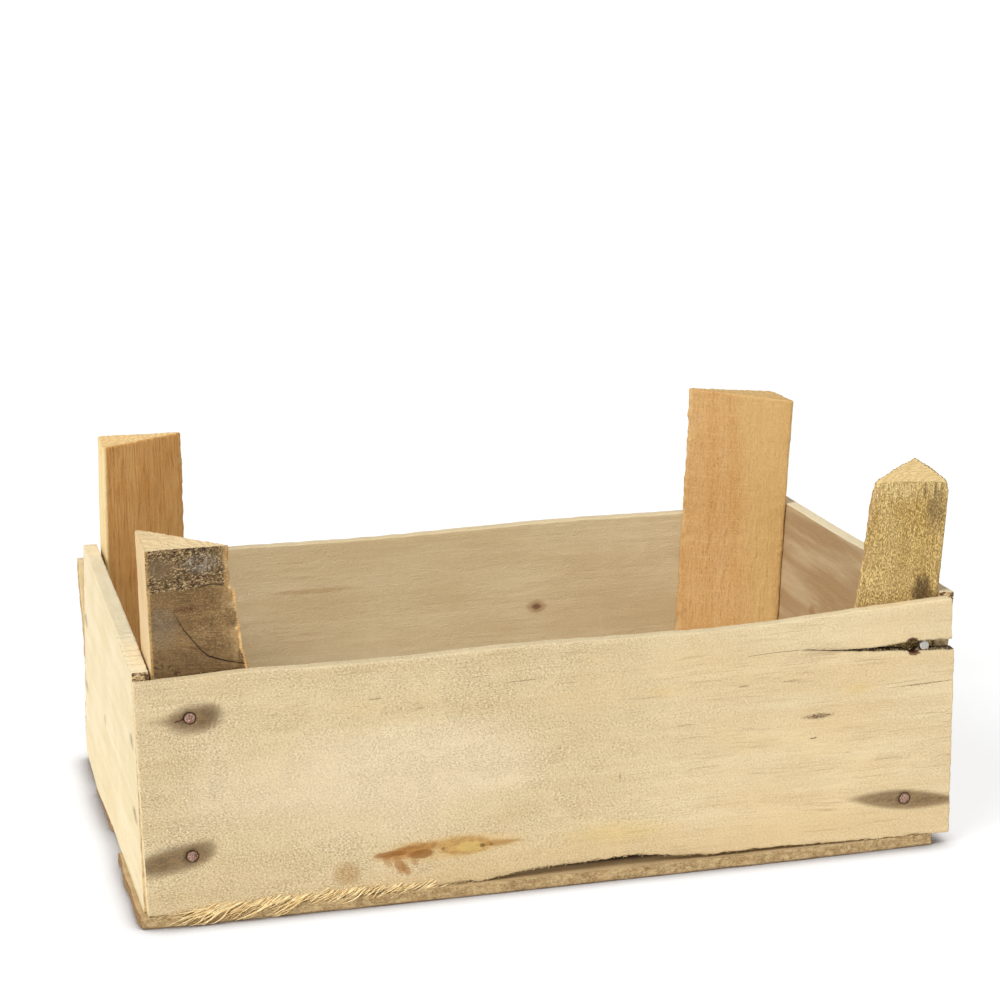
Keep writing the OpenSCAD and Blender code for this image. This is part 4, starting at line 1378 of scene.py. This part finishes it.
def posts():
    # x leg of the two front posts: (height, leg)
    left_leg = curve([(0, 32.8), (79, 32.8), (90.4, 30.6), (97, 29.9), (104, 29.4),
                      (107.4, 29.1), (109.0, 27.5), (125, 27.2)], soft=0.6)
    right_leg = curve([(0, 30.2), (80, 30.2), (124.6, 28.3)], soft=2)
    grey = post_material(
        "grey_post_weathered",
        [(GREY, 0.9, 0.3, "x"), (WARM, 0.6, 0.4, "z"), (TAN, 0.8, 0.7, "z")],
        (2, -8), ((234, 210, 164), (204, 172, 122)), weather_grey_post)
    post("post_front_left", (32.5, 31.0), 122.2, place_front_left, False, grey,
         seed=201, narrow=left_leg, rough=1.3, tear=front_left_tear)
    golden = post_material(
        "golden_post_rough_sawn",
        [(GOLD, 1.0, 0.5, "z"), (TAN, 0.7, 0.5, "z"), (GOLD, 0.8, 0.6, "z")],
        (290, -12), ((234, 206, 148), (206, 170, 108)), weather_golden_post)
    post("post_front_right", (30.2, 31.0), 124.6, lambda p: place_right(p, FRONT_Y + p[:, 1]),
         True, golden, seed=211, narrow=right_leg, rough=1.5,
         top_tilt=(-0.9, 1.8), blunt=0.95)
    honey = post_material(
        "tan_post_back_left",
        [(HONEY, 0.7, 0.5, "z"), (BUTTER, 0.6, 0.3, "z"), (HONEY, 0.7, 0.6, "z")],
        (0, 190), ((238, 204, 146), (206, 164, 104)), weather_honey_post)
    post("post_back_left", (BACK_LEFT_LEG, 19.0), 122.8, place_back_left, True, honey,
         seed=221, top_tilt=(0.0, -0.6))
    tan = post_material(
        "tan_post_back_right",
        [(TANNER, 0.8, 0.6, "z"), (TANNER, 0.6, 0.5, "z"), (TANNER, 1.0, 0.8, "z")],
        (300, 196), ((216, 180, 122), (186, 144, 90)), weather_tan_post)
    post("post_back_right", (35.0, 24.5), 122.2, lambda p: place_right(p, BACK_Y - p[:, 1]),
         False, tan, seed=231, rough=1.3, top_tilt=(0.6, 0.8))


# ---------------------------------------------------------------- nails

SUNK = 0.35          # depth of the heads below the wood
NAIL_LENGTH = 19.0
NAIL_SIDES = 36
PROFILE_HEAD_R = 2.25
# Head profile for that radius: (radius, distance from the top of the head)
HEAD_PROFILE = [(0.35, 0), (0.8, 0), (1.2, 0), (1.55, 0.01), (1.85, 0.03), (2.05, 0.07),
                (2.2, 0.16), (2.25, 0.3), (2.22, 0.44), (2.1, 0.55), (1.6, 0.63),
                (1.2, 0.75), (0.98, 1.05)]


def nail_shape(seed, head_r, shank_r):
    """One nail along +z from its head: a hammered head and a shank with grip rings.
    Gives points, faces and closeness to the head's rim."""
    profile = [(r * head_r / PROFILE_HEAD_R, z) for r, z in HEAD_PROFILE]
    profile += [(shank_r * (0.99 if k % 2 else 0.93), 1.3 + k * 0.45) for k in range(14)]
    profile += [(shank_r, 8.0), (shank_r, NAIL_LENGTH - 3.0), (shank_r * 0.97, NAIL_LENGTH - 2.8),
                (shank_r * 0.45, NAIL_LENGTH - 1.2), (0.08, NAIL_LENGTH - 0.05)]
    radii, depths = np.array(profile).T
    angles = np.linspace(0, 2 * math.pi, NAIL_SIDES, endpoint=False)
    radius, angle = np.meshgrid(radii, angles, indexing="ij")
    depth = np.repeat(depths[:, None], NAIL_SIDES, 1)
    cos, sin = np.cos(angle), np.sin(angle)
    uneven = 1 + np.where(depth < 0.6, 0.05 * noise(cos * 1.3, sin * 1.3, seed, seed), 0)
    x, y = radius * cos * uneven, radius * sin * uneven
    hammered = (0.10 * noise(x / 0.8, y / 0.8, seed * 3.1, seed + 1)
                + 0.05 * noise(x / 0.35, y / 0.35, 1, seed + 2) + 0.04 * x)
    hammered = np.where(depth < 0.5, hammered, 0)
    points = np.vstack([np.stack([x, y, depth + hammered], -1).reshape(-1, 3),
                        [[0, 0, hammered[0].mean()]], [[0, 0, NAIL_LENGTH]]])
    here = np.arange(NAIL_SIDES)
    after = (here + 1) % NAIL_SIDES
    centre = len(radii) * NAIL_SIDES
    last = centre - NAIL_SIDES
    quads = ring_quads(len(radii), NAIL_SIDES)
    fans = np.vstack([np.stack([after, here, np.full(NAIL_SIDES, centre)], 1),
                      np.stack([last + here, last + after, np.full(NAIL_SIDES, centre + 1)], 1)])
    rim = np.r_[np.where(depth < 1.0, radius / head_r, 0.9).ravel(), 0, 0.9]
    return points, quads, fans, rim


def nails(node, places, place, material, small=(), head_r=1.85, shank_r=0.9):
    """A set of nails; place maps a nail's two coordinates and its points to the crate."""
    name = node + "_steel"
    points, quads, fans, rims, bright, count = [], [], [], [], [], 0
    for k, (u, v) in enumerate(places):
        is_small = k in small
        shape, quad, fan, rim = nail_shape(11 * k + len(name), 1.65 if is_small else head_r,
                                           shank_r)
        points.append(place(u, v, shape))
        quads.append(quad + count)
        fans.append(fan + count)
        rims.append(rim * (0.6 if is_small else 1))
        bright.append(np.full(len(shape), float(is_small)))
        count += len(shape)
    add_mesh(name, np.vstack(points), quads + fans, material, node,
             {"rim": np.concatenate(rims), "bright": np.concatenate(bright)})


def nail_front(x, z, p):
    return np.stack([x + p[:, 0], SUNK + p[:, 2], z - p[:, 1]], 1)


def nail_back(x, z, p):
    return np.stack([x - p[:, 0], DEPTH - SUNK - p[:, 2], z - p[:, 1]], 1)


def nail_left(y, z, p):
    return np.stack([SUNK - left_bow(y, z) + p[:, 2], y + p[:, 0], z + p[:, 1]], 1)


def nail_right(y, z, p):
    return lean(np.stack([-SUNK - p[:, 2] + twist(y, z), y - p[:, 0], z + p[:, 1]], 1))


def nail_up(x, y, p):
    return np.stack([x + p[:, 0], y + p[:, 1], SUNK + p[:, 2]], 1)


# ---------------------------------------------------------------- torn fibres

# Tufts on the lower left of the front board: (x, z, fibres, degrees below level)
TUFTS = [
    (17.5, 5.0, 8, 16), (20.5, 5.4, 10, 26), (23.5, 5.6, 12, 31), (27, 5.8, 11, 24),
    (31, 6.0, 11, 19), (35, 6.1, 12, 24), (39, 6.2, 13, 29), (42.5, 6.4, 11, 32),
    (47, 6.4, 11, 24), (51, 6.5, 13, 31), (55, 6.6, 11, 26), (60, 6.7, 11, 24),
    (64.5, 6.8, 12, 31), (69, 6.8, 11, 28), (74, 6.8, 11, 33), (79, 6.6, 10, 27),
    (84, 6.4, 10, 31), (89, 6.0, 9, 26), (94, 5.6, 7, 23), (98.5, 5.4, 5, 20)]
# Single long fibres there: (x, z, degrees below level, length, curl)
LONG_FIBRES = [
    (24.5, 5.2, 29, 12.5, 0.12), (26.0, 5.0, 33, 11.5, 0.20), (22.0, 5.0, 24, 9.5, 0.22),
    (23.5, 4.9, 36, 8.5, -0.12), (21.0, 4.8, 38, 8.0, 0.10), (28.5, 5.4, 35, 10.5, 0.05),
    (40.8, 6.0, 30, 13.0, 0.10), (42.0, 6.2, 33, 12.0, 0.14), (51.5, 6.4, 32, 12.0, 0.12),
    (53.0, 6.3, 29, 11.5, 0.04), (73.5, 6.6, 30, 10.5, 0.10), (19.0, 4.9, 20, 9.0, 0.24)]


def front_fibres():
    """The torn nap at the lower left of the front board and fuzz along its rough edges."""
    rng = np.random.default_rng(20)
    strands = Strands(rng)
    for tuft_x, tuft_z, count, degrees in TUFTS:
        clump = rng.uniform(-0.05, 0.14)
        for _ in range(count):
            x = tuft_x + rng.normal(0, 1.9)
            z = max(4.7, tuft_z + rng.normal(0, 0.6))
            angle = math.radians(degrees + rng.normal(0, 5))
            length = float(np.clip(rng.gamma(9, 1.0), 4, 13)) * (1.0 if tuft_x < 60 else 0.8)
            strands.add((x, 0.1, z), (-math.cos(angle), 0, -math.sin(angle)), length,
                        radius=rng.uniform(0.17, 0.33), droop=rng.uniform(0.0, 0.16),
                        curl=clump + rng.uniform(-0.09, 0.09), out=rng.uniform(0.3, 1.5), sides=5)
    for x, z, degrees, length, curl in LONG_FIBRES:
        angle = math.radians(degrees)
        strands.add((x, 0.05, z), (-math.cos(angle), 0, -math.sin(angle)), length,
                    radius=0.34, droop=0.04, curl=curl, out=1.9, sides=6, points=12)
    # lower edge
    for _ in range(420):
        x = rng.uniform(2, 278)
        z = float(front_low(x)) + rng.uniform(-0.1, 0.4)
        angle = math.radians(rng.uniform(0, 60))
        length = rng.uniform(0.8, 3.4) if x < 112 else rng.uniform(0.3, 1.0)
        strands.add((x, rng.uniform(0.05, 0.5), z),
                    (-math.cos(angle), -0.1, -math.sin(angle) * 0.8), length,
                    radius=rng.uniform(0.05, 0.12), droop=0.1, out=rng.uniform(0.0, 0.3),
                    points=5)
    # lips of the split
    for _ in range(150):
        x = rng.uniform(228, 279)
        upper = rng.random() < 0.5
        z = float(split_middle(x) + (split_above(x) if upper else -split_below(x)))
        length = rng.uniform(0.5, 1.4)
        strands.add((x, rng.uniform(0.1, 1.6), z),
                    (rng.uniform(-1, 1), -0.2, -0.5 if upper else 0.5), length,
                    radius=rng.uniform(0.04, 0.09), out=0.1, points=4)
    # upper edge
    for _ in range(260):
        x = rng.uniform(1, 279)
        z = float(front_top(x)) - 0.15
        length = rng.uniform(0.5, 1.8)
        strands.add((x, rng.uniform(0.1, 4.6), z),
                    (rng.uniform(-1, 1), rng.uniform(-0.5, 0.5), rng.uniform(0.1, 0.7)), length,
                    radius=rng.uniform(0.035, 0.08), out=0.0, droop=0.2, points=4)
    # left end
    for _ in range(90):
        z = rng.uniform(6, 83)
        x = float(left_end(z)) + 0.2
        strands.add((x, rng.uniform(0.2, 4.4), z),
                    (-1, rng.uniform(-0.4, 0.2), rng.uniform(-0.6, 0.6)),
                    length=rng.uniform(0.4, 1.2), radius=rng.uniform(0.035, 0.08),
                    out=0.0, points=4)
    add_mesh("front_board_torn_fibres", np.vstack(strands.points), [strands.faces],
             fibre_material())


# ---------------------------------------------------------------- build the crate

nail_steel = nail_material()
front_board()
left_end_board()
right_end_board()
back_board()
posts()
slat("bottom_slat_front", -2.7, 273.6, 0.5, FRONT_SLAT_W, seed=301, chew=0.8, bow=1.5)
slat("bottom_slat_middle", -2.16, 274.6, MIDDLE_SLAT_Y, MIDDLE_SLAT_W, seed=311, chew=0.4)
slat("bottom_slat_back", 0.6, 273.2, DEPTH - 34.5, BACK_SLAT_W, seed=321, chew=0.4)
nails("front_board_nails", FRONT_NAILS, nail_front, nail_steel, small=(3,))
nails("back_board_nails", BACK_NAILS, nail_back, nail_steel)
nails("left_end_nails", LEFT_NAILS, nail_left, nail_steel)
nails("right_end_nails", RIGHT_NAILS, nail_right, nail_steel)
nails("bottom_slat_nails", SLAT_NAILS, nail_up, nail_steel, head_r=1.65, shank_r=0.65)
front_fibres()


# ---------------------------------------------------------------- studio

def floor_material():
    """A pale floor that glows to the camera, with a painted contact shadow that darkens it close to
    the crate.
    """
    g = Graph("studio_floor")
    speck = g.noise((900, 900, 900))
    occlusion = g.node("ShaderNodeAmbientOcclusion")
    occlusion.samples = 6
    occlusion.inputs["Distance"].default_value = 0.012
    openness = g.out(occlusion, "AO")
    camera_ray = g.out(g.node("ShaderNodeLightPath"), "Is Camera Ray")
    pale = g.mix(speck.lin(0.3, 0.7), (0.96, 0.96, 0.96, 1.0), (0.95, 0.95, 0.945, 1.0))
    # painted contact shadow: the glow and colour darken where the crate is close
    clear = openness.step(0.40, 0.97)
    tight = openness.step(0.66, 0.48)
    seen = g.mix(clear, (0.13, 0.115, 0.105, 1.0), (0.26, 0.26, 0.26, 1.0))
    g.colour = g.mix(camera_ray, pale, seen)
    glow = g.mix(clear, (0.46, 0.40, 0.37, 1.0), (1.0, 1.0, 1.0, 1.0))
    g.put(g.bsdf.inputs["Emission Color"], g.mix(tight, glow, (0.10, 0.075, 0.06, 1.0)))
    g.put(g.bsdf.inputs["Emission Strength"], camera_ray * 0.78)
    return g.finish(0.85, specular=0.0)


def add_floor():
    half, z = 6.0, -0.0001     # metres
    material = floor_material()
    mesh = bpy.data.meshes.new("floor")
    mesh.from_pydata([(-half, -half, z), (half, -half, z), (half, half, z), (-half, half, z)],
                     [], [(0, 1, 2, 3)])
    floor = bpy.data.objects.new("floor", mesh)
    bpy.context.scene.collection.objects.link(floor)
    mesh.materials.append(material)


def add_world():
    """A white surround, brighter to the camera than as a light."""
    as_light, extra_when_seen = 0.40, 0.66
    world = bpy.data.worlds.new("studio")
    bpy.context.scene.world = world
    world.use_nodes = True
    tree = world.node_tree
    path = tree.nodes.new("ShaderNodeLightPath")
    gain = tree.nodes.new("ShaderNodeMath")
    gain.operation = "MULTIPLY_ADD"
    tree.links.new(path.outputs["Is Camera Ray"], gain.inputs[0])
    gain.inputs[1].default_value = extra_when_seen
    gain.inputs[2].default_value = as_light
    background = tree.nodes["Background"]
    tree.links.new(gain.outputs[0], background.inputs[1])
    background.inputs[0].default_value = (1, 1, 1, 1)


def soft_light(name, direction, strength, degrees):
    """A very large, distant soft box: even light over the whole stage."""
    light = bpy.data.lights.new(name, "SUN")
    light.energy = strength
    light.angle = math.radians(degrees)
    lamp = bpy.data.objects.new(name, light)
    bpy.context.scene.collection.objects.link(lamp)
    lamp.location = direction
    lamp.rotation_euler = (-Vector(direction)).to_track_quat("-Z", "Y").to_euler()


def add_camera():
    yaw, pitch, roll = (math.radians(degrees) for degrees in (13.3, 13.7, -1.25))
    place = to_world((-87.7, -885.0, 357.5))
    forward = np.array([math.sin(yaw) * math.cos(pitch), math.cos(yaw) * math.cos(pitch),
                        -math.sin(pitch)])
    level = np.array([math.cos(yaw), -math.sin(yaw), 0.0])
    upright = np.cross(level, forward)
    right = math.cos(roll) * level + math.sin(roll) * upright
    up = -math.sin(roll) * level + math.cos(roll) * upright
    data = bpy.data.cameras.new("camera")
    data.sensor_width = 36.0
    data.sensor_fit = "HORIZONTAL"
    data.lens = 103.32
    data.clip_start = 0.05
    data.clip_end = 50.0
    camera = bpy.data.objects.new("camera", data)
    bpy.context.scene.collection.objects.link(camera)
    rows = [[right[i], up[i], -forward[i], place[i]] for i in range(3)]
    camera.matrix_world = Matrix(rows + [[0, 0, 0, 1]])
    bpy.context.scene.camera = camera


add_floor()
add_world()
soft_light("key", direction=(-1.3, -0.8, 1.3), strength=2.95, degrees=36)
soft_light("fill", direction=(0.9, -1.5, 0.8), strength=0.62, degrees=60)
add_camera()

view = bpy.context.scene.view_settings
view.view_transform = "Standard"
view.look = "None"
view.exposure = 0.0
view.gamma = 1.0
